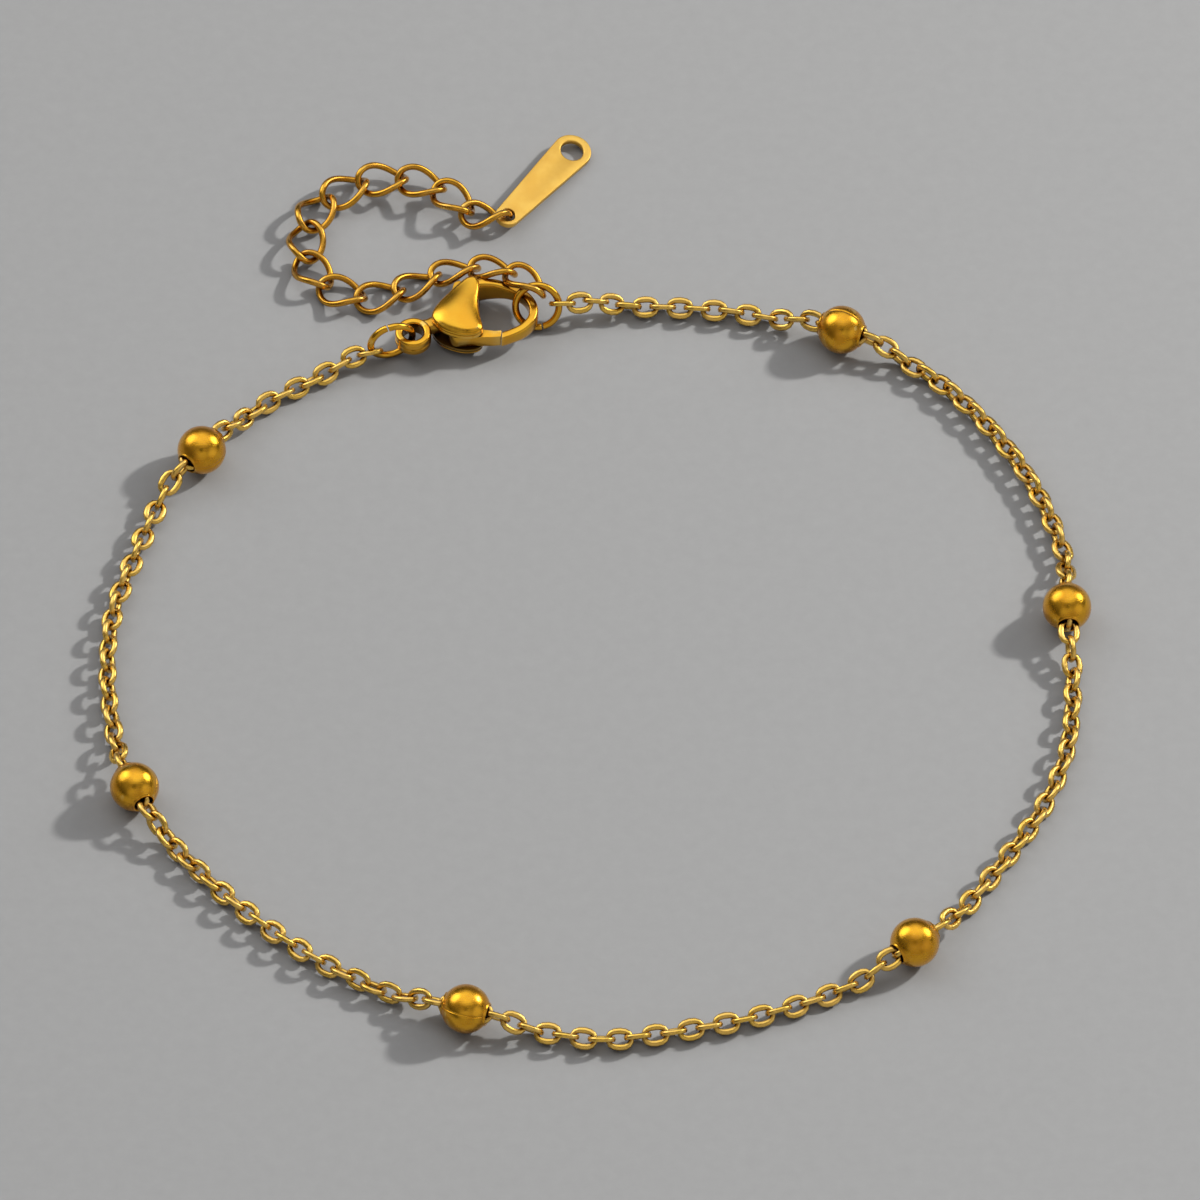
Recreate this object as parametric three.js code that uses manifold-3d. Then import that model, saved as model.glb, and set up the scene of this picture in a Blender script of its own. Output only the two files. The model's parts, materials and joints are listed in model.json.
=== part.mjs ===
// Charm anklet lying closed on a flat surface: a fine cable chain with six hollow
// beads, a lobster clasp, two jump rings, a curb extender and a tapered tag.
// Millimetres, +Z up. The origin is the middle of the anklet's footprint, on the surface.
import * as THREE from "three";
import { mergeVertices } from "three/addons/utils/BufferGeometryUtils.js";
import Module from "manifold-3d";

const wasm = await Module();
wasm.setup();

// ---- driving dimensions -------------------------------------------------------

const CHAIN_RADIUS = 0.95; // half the width of the cable chain's links
const CHAIN_HEIGHT = 0.97; // of its middle, where it lies on the surface
const CHAIN_LINK = { length: 2.3, width: 1.9, wireRadius: 0.225 };
const CHAIN_LIFT_REACH = 4.5; // distance over which the chain comes down from a bead
const NECK_RADIUS = 0.45; // the chain where it enters a bead's hole
const NECK_LENGTH = 1.0;

const BEAD_RADIUS = 2.0;
const BEAD_WALL = 0.25;
const BEAD_HOLE_RADIUS = 0.8;
const BEAD_CLEARANCE = 0.15; // from a bead's outer sphere to the chain's full width

const RING_RADIUS = 1.8; // both jump rings, to the middle of the wire
const RING_WIRE_RADIUS = 0.3;
const RING_CUT_DEGREES = 3; // the saw cut
const LINK_ON_RING = 0.3; // from a ring's wire to the middle of the link on it

const CURB_LINK = { length: 4.59, width: 3.39, wireRadius: 0.275, twist: 40 };
const TAG_LINK_TWIST = 58;

const TAG = {
  span: 9.0, // between the holes
  smallEnd: 1.03,
  bigEnd: 1.62,
  smallHole: 0.6,
  bigHole: 0.95,
  thickness: 0.5,
};

// The clasp lies along its own +X, with the middle of its eye at its origin.
const CLASP_MID = 1.8; // height of its middle plane, and half the body's thickness
const SHELL_BEVEL = { thickness: 0.55, size: 0.45 };
const SLOT_HEIGHT = 1.5;
const EYE = { radius: 1.55, hole: 0.8, thickness: 1.3, round: 0.35, groove: 0.12 };
const NECK_BLOCK = { from: 1.2, to: 2.1, middle: 0.75, width: 1.2, height: 1.2 };
const HOOK = { width: 0.9, height: 1.2, corner: 0.3 };
const PIN = { x: 3.6, y: -0.75, radius: 0.3, bite: 0.25 };
const LEVER = { bore: 0.36, thickness: 1.2, reach: 3.62, tipGap: 0.08 };

// ---- places -------------------------------------------------------------------

const BEADS = [
  [-32.3, 12.95],
  [-37.3, -21.5],
  [-10.3, -43.7],
  [25.9, -37.1],
  [38.7, -3.2],
  [20.5, 25.5],
];

// The chain's route over the surface, one row for each stretch between the beads.
const CHAIN_ROUTES = [
  [[-21.3, 22.3], [-23.5, 20.9], [-25.6, 19.6], [-27.8, 18.0]],
  [[-35.5, 8.8], [-37.6, 3.0], [-39.4, -3.4], [-39.7, -9.9], [-38.9, -16.4]],
  [[-34.2, -26.5], [-30.7, -30.6], [-26.7, -34.5], [-22.6, -37.8], [-18.4, -40.4], [-15.0, -42.0]],
  [[-5.6, -44.9], [0.8, -45.9], [7.3, -45.0], [14.0, -43.4], [20.7, -40.7]],
  [[29.3, -33.8], [33.0, -28.5], [36.4, -22.9], [38.5, -17.0], [39.1, -10.3]],
  [[38.5, 3.3], [36.3, 9.8], [33.2, 15.3], [29.4, 20.0], [25.0, 23.5]],
  [[15.5, 27.3], [11.0, 28.3], [6.7, 28.7], [2.6, 28.8], [0.2, 28.7]],
];

// A ring's plane leans back from flat by its incline; positions on it are angles
// from its heading, and the cut is one of them.
const CLASP_RING = { centre: [-16.75, 24.3, 2.12], heading: 18, incline: 90, cut: 100 };
const END_RING = { centre: [-4.7, 28.1, 1.85], heading: 0, incline: 54, cut: -76 };
const CLASP_RING_LINK_AT = 206;
const END_RING_LINK_AT = 6;

// Extender links, from the tag to the end ring. Heading is towards the next link.
const CURB_ROWS = [
  { at: [-9.04, 38.19, 1.22], heading: 178, pitch: -1, roll: 23 },
  { at: [-11.71, 39.7, 1.46], heading: 134, pitch: -1, roll: 14 },
  { at: [-14.41, 41.45, 1.4], heading: 161, pitch: -2, roll: 6 },
  { at: [-17.67, 41.86, 1.33], heading: 183, pitch: -1, roll: 1 },
  { at: [-20.78, 40.91, 1.08], heading: 209, pitch: 1, roll: 1 },
  { at: [-23.17, 38.73, 0.98], heading: 240, pitch: -6, roll: -1 },
  { at: [-23.94, 35.58, 0.97], heading: 267, pitch: -2, roll: -2 },
  { at: [-23.33, 32.47, 0.9], heading: 302, pitch: -3, roll: -6 },
  { at: [-20.92, 30.36, 0.77], heading: 338, pitch: -3, roll: -5 },
  { at: [-17.75, 29.99, 0.77], heading: 14, pitch: -5, roll: -8 },
  { at: [-14.67, 31.09, 1.01], heading: 24, pitch: -5, roll: -21 },
  { at: [-11.59, 31.96, 1.57], heading: 2, pitch: -11, roll: -25 },
  { at: [-8.44, 31.55, 2.36], heading: 337, pitch: -12, roll: -24 },
  { at: [-5.65, 29.93, 2.83], heading: 313, pitch: -3, roll: -27 },
];

const TAG_PLACE = { at: [-7.19, 38.15, 1.1], heading: 53.6, slope: 3.4, roll: 10 };
const CLASP_PLACE = { at: [-14.95, 24.95], heading: 14 };

// ---- solids -------------------------------------------------------------------

const toRadians = THREE.MathUtils.degToRad;

function solidOf(geometry) {
  const bare = geometry.clone();
  bare.deleteAttribute("normal");
  bare.deleteAttribute("uv");
  const merged = mergeVertices(bare, 1e-5);
  return new wasm.Manifold(
    new wasm.Mesh({
      numProp: 3,
      vertProperties: new Float32Array(merged.attributes.position.array),
      triVerts: new Uint32Array(merged.index.array),
    }),
  );
}

function geometryOf(solid) {
  const mesh = solid.getMesh();
  const geometry = new THREE.BufferGeometry();
  geometry.setAttribute("position", new THREE.BufferAttribute(mesh.vertProperties, mesh.numProp));
  geometry.setIndex(new THREE.BufferAttribute(mesh.triVerts, 1));
  geometry.computeVertexNormals();
  return geometry;
}

function joined(...geometries) {
  return geometryOf(geometries.map(solidOf).reduce((all, one) => all.add(one)));
}

function cut(geometry, ...tools) {
  return geometryOf(tools.map(solidOf).reduce((left, tool) => left.subtract(tool), solidOf(geometry)));
}

function swept(section, route, steps) {
  return new THREE.ExtrudeGeometry(section, { extrudePath: route, steps, curveSegments: 2 });
}

function disc(radius, sides) {
  const corners = Array.from({ length: sides }, (_, i) => {
    const angle = ((i + 0.5) / sides) * 2 * Math.PI;
    return new THREE.Vector2(radius * Math.cos(angle), radius * Math.sin(angle));
  });
  return new THREE.Shape(corners);
}

// A closed loop of round wire: a unit ring whose every vertex keeps its place
// around the wire while the wire's middle moves to middleAt(angle).
function wireLoop(middleAt, wireRadius, around, along) {
  const geometry = new THREE.TorusGeometry(1, wireRadius, around, along);
  const position = geometry.attributes.position;
  for (let i = 0; i < position.count; i++) {
    const ring = new THREE.Vector3().fromBufferAttribute(position, i);
    const angle = Math.atan2(ring.y, ring.x);
    const outward = Math.hypot(ring.x, ring.y) - 1;
    const middle = middleAt(angle);
    const tangent = middleAt(angle + 1e-3).sub(middleAt(angle - 1e-3)).normalize();
    const radial = middle.clone().addScaledVector(tangent, -middle.dot(tangent)).normalize();
    const across = new THREE.Vector3().crossVectors(radial, tangent);
    middle.addScaledVector(radial, outward).addScaledVector(across, ring.z);
    position.setXYZ(i, middle.x, middle.y, middle.z);
  }
  return geometry;
}

function ovalLink({ length, width, wireRadius, twist = 0 }, along) {
  const halfLength = length / 2 - wireRadius;
  const halfWidth = width / 2 - wireRadius;
  const middleAt = (angle) => {
    const turn = -toRadians(twist) * Math.cos(angle);
    const side = halfWidth * Math.sin(angle);
    return new THREE.Vector3(
      halfLength * Math.cos(angle),
      side * Math.cos(turn),
      side * Math.sin(turn),
    );
  };
  return wireLoop(middleAt, wireRadius, 6, along);
}

// ---- jump rings -----------------------------------------------------------------

function ringAxes({ heading, incline }) {
  const along = new THREE.Vector3(Math.cos(toRadians(heading)), Math.sin(toRadians(heading)), 0);
  const normal = new THREE.Vector3(0, 0, 1).applyAxisAngle(along, toRadians(incline));
  return { along, up: new THREE.Vector3().crossVectors(normal, along), normal };
}

function ringPoint(ring, degrees, radius = RING_RADIUS) {
  const { along, up } = ringAxes(ring);
  return new THREE.Vector3(...ring.centre)
    .addScaledVector(along, radius * Math.cos(toRadians(degrees)))
    .addScaledVector(up, radius * Math.sin(toRadians(degrees)));
}

class RingArc extends THREE.Curve {
  constructor(ring) {
    super();
    this.ring = ring;
  }

  getPoint(t, target = new THREE.Vector3()) {
    const degrees = this.ring.cut + RING_CUT_DEGREES / 2 + t * (360 - RING_CUT_DEGREES);
    return target.copy(ringPoint(this.ring, degrees));
  }
}

function jumpRing(ring) {
  return swept(disc(RING_WIRE_RADIUS, 7), new RingArc(ring), 24);
}

// ---- chain ----------------------------------------------------------------------

// The chain in plan, lifted at its ends to the height of what it joins there.
class ChainRoute extends THREE.Curve {
  constructor(points) {
    super();
    this.plan = new THREE.CatmullRomCurve3(
      points.map((point) => new THREE.Vector3(point.x, point.y, 0)),
    );
    this.ends = [points[0], points.at(-1)];
  }

  getPoint(t, target = new THREE.Vector3()) {
    this.plan.getPoint(t, target);
    const lifts = this.ends.map((end) => {
      const share = Math.min(1, Math.hypot(target.x - end.x, target.y - end.y) / CHAIN_LIFT_REACH);
      return (end.z - CHAIN_HEIGHT) * (1 - share) ** 2 * (1 + 2 * share);
    });
    return target.setZ(CHAIN_HEIGHT + lifts[0] + lifts[1]);
  }
}

function flat([x, y], z = CHAIN_HEIGHT) {
  return new THREE.Vector3(x, y, z);
}

function beadDirection(index) {
  return flat(CHAIN_ROUTES[index + 1][0]).sub(flat(CHAIN_ROUTES[index].at(-1))).normalize();
}

// The link that joins a chain's end to a jump ring, lying across the ring's wire.
function linkOnRing(ring, degrees) {
  const outward = ringPoint(ring, degrees, 1).sub(new THREE.Vector3(...ring.centre));
  const { normal } = ringAxes(ring);
  const middle = ringPoint(ring, degrees, RING_RADIUS + LINK_ON_RING);
  const basis = new THREE.Matrix4()
    .makeBasis(outward, normal, new THREE.Vector3().crossVectors(outward, normal))
    .setPosition(middle);
  const farSide = CHAIN_LINK.length / 2 - 2 * CHAIN_LINK.wireRadius;
  const chainFrom = middle.clone().addScaledVector(outward, farSide);
  chainFrom.z = Math.max(chainFrom.z, CHAIN_HEIGHT);
  return { geometry: ovalLink(CHAIN_LINK, 16).applyMatrix4(basis), chainFrom };
}

function beadEnd(index, side) {
  const outward = beadDirection(index).multiplyScalar(side);
  const middle = flat(BEADS[index], BEAD_RADIUS);
  const chainFrom = middle.clone().addScaledVector(outward, BEAD_RADIUS + BEAD_CLEARANCE);
  const neck = new THREE.CylinderGeometry(NECK_RADIUS, NECK_RADIUS, NECK_LENGTH, 8);
  neck.applyQuaternion(new THREE.Quaternion().setFromUnitVectors(new THREE.Vector3(0, 1, 0), outward));
  const inward = chainFrom.clone().addScaledVector(outward, 0.05 - NECK_LENGTH / 2);
  return { geometry: neck.translate(inward.x, inward.y, inward.z), chainFrom };
}

function chainStretch(index) {
  const start = index === 0 ? linkOnRing(CLASP_RING, CLASP_RING_LINK_AT) : beadEnd(index - 1, 1);
  const isLast = index === CHAIN_ROUTES.length - 1;
  const end = isLast ? linkOnRing(END_RING, END_RING_LINK_AT) : beadEnd(index, -1);
  const middle = CHAIN_ROUTES[index].map((point) => flat(point));
  const route = new ChainRoute([start.chainFrom, ...middle, end.chainFrom]);
  const section = disc(CHAIN_RADIUS / Math.cos(Math.PI / 8), 8);
  const tube = swept(section, route, 2 * middle.length);
  return joined(tube, start.geometry, end.geometry);
}

// ---- beads ----------------------------------------------------------------------

function arcPoints(radius, holeRadius, steps) {
  const opening = Math.asin(holeRadius / radius);
  return Array.from({ length: steps + 1 }, (_, i) => {
    const angle = opening + (i / steps) * (Math.PI - 2 * opening);
    return new THREE.Vector2(radius * Math.sin(angle), -radius * Math.cos(angle));
  });
}

function bead(index) {
  const outside = arcPoints(BEAD_RADIUS, BEAD_HOLE_RADIUS, 7);
  const inside = arcPoints(BEAD_RADIUS - BEAD_WALL, BEAD_HOLE_RADIUS, 4).reverse();
  const shell = new THREE.LatheGeometry([...outside, ...inside, outside[0]], 14);
  const turn = new THREE.Quaternion().setFromUnitVectors(new THREE.Vector3(0, 1, 0), beadDirection(index));
  return shell.applyQuaternion(turn).translate(...BEADS[index], BEAD_RADIUS);
}

// ---- clasp ----------------------------------------------------------------------

function slab(shape, thickness, options = {}) {
  const slice = new THREE.ExtrudeGeometry(shape, {
    depth: thickness,
    bevelEnabled: false,
    curveSegments: 5,
    ...options,
  });
  return slice.translate(0, 0, -thickness / 2);
}

function claspEye() {
  const { radius, hole, thickness, round, groove } = EYE;
  const top = thickness / 2;
  const profile = [
    [hole, -top + round],
    [hole + round, -top],
    [radius - round, -top],
    [radius, -top + round],
    [radius, -groove],
    [radius - groove, 0],
    [radius, groove],
    [radius, top - round],
    [radius - round, top],
    [hole + round, top],
    [hole, top - round],
    [hole, -top + round],
  ].map(([x, y]) => new THREE.Vector2(x, y));
  return new THREE.LatheGeometry(profile, 18).rotateX(Math.PI / 2);
}

function shellOutline() {
  const shape = new THREE.Shape();
  shape.moveTo(1.75, 0.9);
  shape.quadraticCurveTo(1.8, -0.5, 3.1, -1.4);
  shape.quadraticCurveTo(4.0, -2.05, 4.9, -1.95);
  shape.quadraticCurveTo(5.75, -1.8, 5.65, -0.8);
  shape.quadraticCurveTo(5.65, 1.0, 6.2, 2.3);
  shape.quadraticCurveTo(6.9, 4.3, 5.5, 4.0);
  shape.quadraticCurveTo(4.6, 3.8, 3.5, 2.7);
  shape.quadraticCurveTo(1.75, 1.9, 1.75, 0.9);
  return shape;
}

// The space between the shells: open on the gate's side and on the tab's side,
// closed at the eye's neck and at the hook's root.
function slotOutline() {
  return new THREE.Shape([
    new THREE.Vector2(2.2, -3),
    new THREE.Vector2(7, -3),
    new THREE.Vector2(7, 2.2),
    new THREE.Vector2(5.7, 2.2),
    new THREE.Vector2(5.4, 3.2),
    new THREE.Vector2(5.4, 5),
    new THREE.Vector2(2.2, 5),
  ]);
}

function hookBand() {
  const { width, height, corner } = HOOK;
  const route = new THREE.CatmullRomCurve3(
    [
      [5.9, 3.4],
      [6.9, 3.4],
      [8.0, 3.1],
      [9.1, 2.45],
      [9.95, 1.6],
      [10.3, 0.4],
      [9.95, -0.8],
      [9.0, -1.6],
      [7.8, -1.95],
      [6.6, -2.1],
    ].map(([x, y]) => new THREE.Vector3(x, y, 0)),
  );
  // The section's x is the band's height and its y is its width.
  const [x, y] = [height / 2, width / 2];
  const section = new THREE.Shape(
    [
      [-x, -y + corner],
      [-x + corner, -y],
      [x - corner, -y],
      [x, -y + corner],
      [x, y - corner],
      [x - corner, y],
      [-x + corner, y],
      [-x, y - corner],
    ].map((point) => new THREE.Vector2(...point)),
  );
  return swept(section, route, 20);
}

function upright(radius, height, sides = 20) {
  return new THREE.CylinderGeometry(radius, radius, height, sides).rotateX(Math.PI / 2);
}

function claspBody() {
  const { thickness, size } = SHELL_BEVEL;
  const block = slab(shellOutline(), 2 * (CLASP_MID - thickness), {
    bevelEnabled: true,
    bevelThickness: thickness,
    bevelSize: size,
    bevelOffset: -size,
    bevelSegments: 2,
  });
  const shells = cut(block, slab(slotOutline(), SLOT_HEIGHT));
  const tipClearance = upright(LEVER.reach + LEVER.tipGap, 2 * CLASP_MID, 48).translate(PIN.x, PIN.y, 0);
  const rootSide = new THREE.BoxGeometry(20, 10, 2 * CLASP_MID).translate(0, 5, 0);
  const hook = cut(hookBand(), cut(tipClearance, rootSide));
  const { from, to, middle, width, height } = NECK_BLOCK;
  const neck = new THREE.BoxGeometry(to - from, width, height).translate((from + to) / 2, middle, 0);
  const pin = upright(PIN.radius, SLOT_HEIGHT + 2 * PIN.bite, 12).translate(PIN.x, PIN.y, 0);
  return joined(shells, hook, neck, claspEye(), pin);
}

function claspLever() {
  const { bore, thickness, reach } = LEVER;
  const gate = new THREE.Shape();
  gate.moveTo(PIN.x - 0.6, PIN.y - 0.4);
  gate.lineTo(PIN.x, PIN.y - 0.75);
  gate.lineTo(6.2, -2.1);
  gate.lineTo(8, -2.35);
  gate.lineTo(8, -1.7);
  gate.lineTo(6.6, -1.5);
  gate.lineTo(5.6, -1.1);
  gate.lineTo(4.5, 0.2);
  gate.lineTo(4.85, 2.6);
  gate.lineTo(5.2, 4.0);
  gate.quadraticCurveTo(5.1, 4.5, 4.5, 4.2);
  gate.lineTo(3.7, 2.6);
  gate.lineTo(PIN.x - 0.6, PIN.y + 0.6);
  gate.closePath();
  const tipArc = upright(reach, thickness, 48).translate(PIN.x, PIN.y, 0);
  const tabSide = new THREE.BoxGeometry(4, 6, thickness).translate(4.2, 3, 0);
  const keep = joined(tipArc, tabSide);
  const blank = geometryOf(solidOf(slab(gate, thickness)).intersect(solidOf(keep)));
  return cut(blank, upright(bore, 2 * thickness, 16).translate(PIN.x, PIN.y, 0));
}

// ---- tag ------------------------------------------------------------------------

function tag() {
  const { span, smallEnd, bigEnd, smallHole, bigHole, thickness } = TAG;
  const tangent = Math.PI / 2 + Math.asin((bigEnd - smallEnd) / span);
  const shape = new THREE.Shape();
  shape.absarc(0, 0, smallEnd, tangent, 2 * Math.PI - tangent, false);
  shape.absarc(span, 0, bigEnd, -tangent, tangent, false);
  shape.holes.push(new THREE.Path().absarc(0, 0, smallHole, 0, 2 * Math.PI, true));
  shape.holes.push(new THREE.Path().absarc(span, 0, bigHole, 0, 2 * Math.PI, true));
  return slab(shape, thickness, { curveSegments: 10 });
}

// ---- the anklet -----------------------------------------------------------------

const gold = new THREE.MeshStandardMaterial({ color: 0xd9a036, roughness: 0.24, metalness: 1 });
const chainGold = new THREE.MeshStandardMaterial({ color: 0xc9922e, roughness: 0.32, metalness: 1 });
const tagGold = new THREE.MeshStandardMaterial({ color: 0xe0ae48, roughness: 0.38, metalness: 1 });

const anklet = new THREE.Group();

function addPiece(name, geometry, material = gold, parent = anklet) {
  const mesh = new THREE.Mesh(geometry, material);
  mesh.name = name;
  parent.add(mesh);
  return mesh;
}

CHAIN_ROUTES.forEach((_, index) => addPiece(`chain_${index + 1}`, chainStretch(index), chainGold));
BEADS.forEach((_, index) => addPiece(`bead_${index + 1}`, bead(index)));
addPiece("clasp_ring", jumpRing(CLASP_RING));
addPiece("end_ring", jumpRing(END_RING));

CURB_ROWS.forEach(({ at, heading, pitch, roll }, index) => {
  const twist = index === 0 ? TAG_LINK_TWIST : CURB_LINK.twist;
  const name = `extender_${String(index + 1).padStart(2, "0")}`;
  const link = addPiece(name, ovalLink({ ...CURB_LINK, twist }, 16), chainGold);
  link.position.set(...at);
  link.rotation.set(toRadians(roll), toRadians(pitch), toRadians(heading), "ZYX");
});

const tagPiece = addPiece("tag", tag(), tagGold);
tagPiece.position.set(...TAG_PLACE.at);
tagPiece.rotation.set(
  toRadians(TAG_PLACE.roll),
  toRadians(TAG_PLACE.slope),
  toRadians(TAG_PLACE.heading),
  "ZYX",
);

const clasp = new THREE.Group();
clasp.position.set(...CLASP_PLACE.at, CLASP_MID);
clasp.rotation.z = toRadians(CLASP_PLACE.heading);
anklet.add(clasp);
addPiece("clasp_body", claspBody(), gold, clasp);
addPiece("clasp_lever", claspLever(), gold, clasp);

export default anklet;
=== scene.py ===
"""Gold charm anklet lying closed on a table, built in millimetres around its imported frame.

A fine cable chain carries six hollow beads. Its ends are held by two jump rings: one in the
eye of a lobster clasp, the other on the clasp's hook, together with a curb extender that
ends in a flat tapered tag.
"""

import json
import logging
import math
import random
from dataclasses import dataclass
from enum import Enum
from typing import Iterable, Sequence

import bmesh
import bpy
import numpy as np
from mathutils import Euler, Matrix, Vector


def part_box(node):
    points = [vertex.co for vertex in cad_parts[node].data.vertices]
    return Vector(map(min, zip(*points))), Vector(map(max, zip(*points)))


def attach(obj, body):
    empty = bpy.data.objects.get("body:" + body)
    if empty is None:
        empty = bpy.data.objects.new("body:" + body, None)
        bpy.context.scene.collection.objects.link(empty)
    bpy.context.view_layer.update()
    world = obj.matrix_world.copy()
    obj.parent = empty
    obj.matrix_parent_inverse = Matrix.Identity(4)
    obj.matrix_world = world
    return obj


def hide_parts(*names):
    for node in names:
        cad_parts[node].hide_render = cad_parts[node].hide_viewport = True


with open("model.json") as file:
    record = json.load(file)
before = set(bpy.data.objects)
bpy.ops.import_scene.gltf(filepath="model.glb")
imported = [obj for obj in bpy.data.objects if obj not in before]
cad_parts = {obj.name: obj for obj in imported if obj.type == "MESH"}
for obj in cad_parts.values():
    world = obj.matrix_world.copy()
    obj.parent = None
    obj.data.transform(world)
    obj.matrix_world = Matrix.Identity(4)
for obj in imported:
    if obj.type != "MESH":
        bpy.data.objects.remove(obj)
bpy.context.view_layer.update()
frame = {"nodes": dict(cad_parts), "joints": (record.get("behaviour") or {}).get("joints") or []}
log = logging.getLogger("anklet")

METRES = 0.001
FULL_TURN = 2 * math.pi
X_AXIS = Vector((1, 0, 0))
Y_AXIS = Vector((0, 1, 0))
Z_AXIS = Vector((0, 0, 1))
WELD = 1e-4
SAME_PLANE = 1e-5
SHARP_CORNER = math.radians(80)

BODY = "anklet"
LEVER_BODY = "lever"

Colour = tuple[float, float, float]
Flat = tuple[float, float]
Socket = bpy.types.NodeSocket


class Slot(Enum):
    """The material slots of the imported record."""

    CHAIN = "gold_chain"
    BEAD = "gold_bead"
    CLASP = "gold_clasp"
    TAG = "gold_tag"


class Side(Enum):
    """The two shells of the clasp, one above its middle plane and one below."""

    TOP = 1
    BOTTOM = -1


# ---- mesh work -----------------------------------------------------------------------


def only(kind: type, items: Iterable[object]) -> list:
    """Returns the items of one kind, such as the vertices among what an operator made."""
    return [item for item in items if isinstance(item, kind)]


def each_once(items: Iterable[object]) -> list:
    """Returns the items in their order, each once."""
    return list(dict.fromkeys(items))


def everything(shape: bmesh.types.BMesh) -> list:
    """Returns a mesh's vertices, edges and faces in one list."""
    return shape.verts[:] + shape.edges[:] + shape.faces[:]


def loop_through(shape: bmesh.types.BMesh, points: Sequence[Vector]) -> list[bmesh.types.BMEdge]:
    """Joins points into one closed loop of edges.

    Args:
        shape: The mesh that gets the loop.
        points: The loop's points, in order.

    Returns:
        The loop's edges.
    """
    verts = [shape.verts.new(point) for point in points]
    return [shape.edges.new((verts[i - 1], verts[i])) for i in range(len(verts))]


def section_loop(
    shape: bmesh.types.BMesh, width: float, height: float, corners: Sequence[Flat], place: Matrix
) -> list[bmesh.types.BMEdge]:
    """Adds one section across a route.

    Args:
        shape: The mesh that gets the loop.
        width: Its size along the place's X.
        height: Its size along the place's Y.
        corners: The section's outline in a square from -1 to 1.
        place: Where the section stands; its Z runs along the route.

    Returns:
        The section's edges.
    """
    circle = bmesh.ops.create_circle(shape, cap_ends=False, segments=len(corners), radius=1.0)
    verts = circle["verts"]
    for vert, (x, y) in zip(verts, corners):
        vert.co = Vector((x * width / 2, y * height / 2, 0))
    bmesh.ops.transform(shape, matrix=place, verts=verts)
    return each_once(edge for vert in verts for edge in vert.link_edges)


def round_section(sides: int, squareness: float = 0.0) -> list[Flat]:
    """Makes the outline of a round or a softly squared wire.

    Args:
        sides: How many corners it has.
        squareness: 0 for round, towards 1 for square.

    Returns:
        The outline's corners in a square from -1 to 1.
    """
    power = 1 - squareness
    corners = []
    for step in range(sides):
        angle = FULL_TURN * (step + 0.5) / sides
        x, y = math.cos(angle), math.sin(angle)
        corners.append(
            (math.copysign(abs(x) ** power, x), math.copysign(abs(y) ** power, y))
        )
    return corners


def sweep(
    shape: bmesh.types.BMesh,
    places: Sequence[Matrix],
    sizes: Sequence[Flat],
    corners: Sequence[Flat],
    closed: bool,
) -> None:
    """Bridges sections along a route into one closed skin.

    Args:
        shape: The mesh that gets the skin.
        places: Where each section stands.
        sizes: Each section's width and height.
        corners: The sections' outline.
        closed: Whether the route closes on itself; an open one gets end caps.
    """
    loops = [
        section_loop(shape, width, height, corners, place)
        for place, (width, height) in zip(places, sizes)
    ]
    followers = loops[1:] + (loops[:1] if closed else [])
    for one, other in zip(loops, followers):
        bmesh.ops.bridge_loops(shape, edges=one + other)
    if not closed:
        bmesh.ops.contextual_create(shape, geom=loops[0])
        bmesh.ops.contextual_create(shape, geom=loops[-1])


def standing_place(middle: Vector, along: Vector, out: Vector) -> Matrix:
    """Makes the place of a section.

    Args:
        middle: The section's middle.
        along: The route's direction there.
        out: The rough direction of the section's X.

    Returns:
        The place, with Z along the route and X as near to out as it can be.
    """
    z = along.normalized()
    x = (out - z * out.dot(z)).normalized()
    return placed(x, z.cross(x), z, middle)


def placed(x: Vector, y: Vector, z: Vector, middle: Vector) -> Matrix:
    """Makes a place from its directions.

    Args:
        x: Where the place's X points.
        y: Where its Y points.
        z: Where its Z points.
        middle: Where its middle is.

    Returns:
        The place.
    """
    matrix = Matrix((x, y, z)).transposed().to_4x4()
    matrix.translation = middle
    return matrix


def lathe(shape: bmesh.types.BMesh, profile: Sequence[Flat], steps: int) -> None:
    """Turns a closed profile about the Z axis.

    Args:
        shape: The mesh that gets the turned skin.
        profile: Points of radius and height, in order round the profile.
        steps: How many steps the full turn has.
    """
    edges = loop_through(shape, [Vector((radius, 0, height)) for radius, height in profile])
    verts = each_once(vert for edge in edges for vert in edge.verts)
    bmesh.ops.spin(
        shape,
        geom=verts + edges,
        cent=(0, 0, 0),
        axis=Z_AXIS,
        angle=FULL_TURN,
        steps=steps,
        use_merge=True,
        use_duplicate=False,
    )


def bezier_points(start: Flat, control: Flat, end: Flat, steps: int) -> list[Flat]:
    """Draws a curve that bends towards one control point.

    Args:
        start: Where the curve starts; this point is left out.
        control: What the curve bends towards.
        end: Where it ends.
        steps: How many points it has.

    Returns:
        The curve's points.
    """
    points = []
    for step in range(1, steps + 1):
        t = step / steps
        shares = ((1 - t) ** 2, 2 * t * (1 - t), t * t)
        x, y = (sum(s * p[axis] for s, p in zip(shares, (start, control, end))) for axis in (0, 1))
        points.append((x, y))
    return points


def arc_points(middle: Flat, radius: float, start: float, end: float, steps: int) -> list[Flat]:
    """Draws an arc.

    Args:
        middle: The arc's middle.
        radius: Its radius.
        start: The angle it starts at, in radians.
        end: The angle it ends at, in radians.
        steps: How many steps it has.

    Returns:
        The arc's points, with both ends.
    """
    points = []
    for step in range(steps + 1):
        angle = start + (end - start) * step / steps
        points.append((middle[0] + radius * math.cos(angle), middle[1] + radius * math.sin(angle)))
    return points


def hole_points(middle: Flat, radius: float, steps: int) -> list[Flat]:
    """Returns the points of a round hole, each once."""
    return arc_points(middle, radius, 0, FULL_TURN, steps)[:-1]


def running_lengths(points: Sequence[Vector]) -> list[float]:
    """Measures a line.

    Args:
        points: The line's points, in order.

    Returns:
        How far along the line each point is.
    """
    lengths = [0.0]
    for one, other in zip(points, points[1:]):
        lengths.append(lengths[-1] + (other - one).length)
    return lengths


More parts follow.
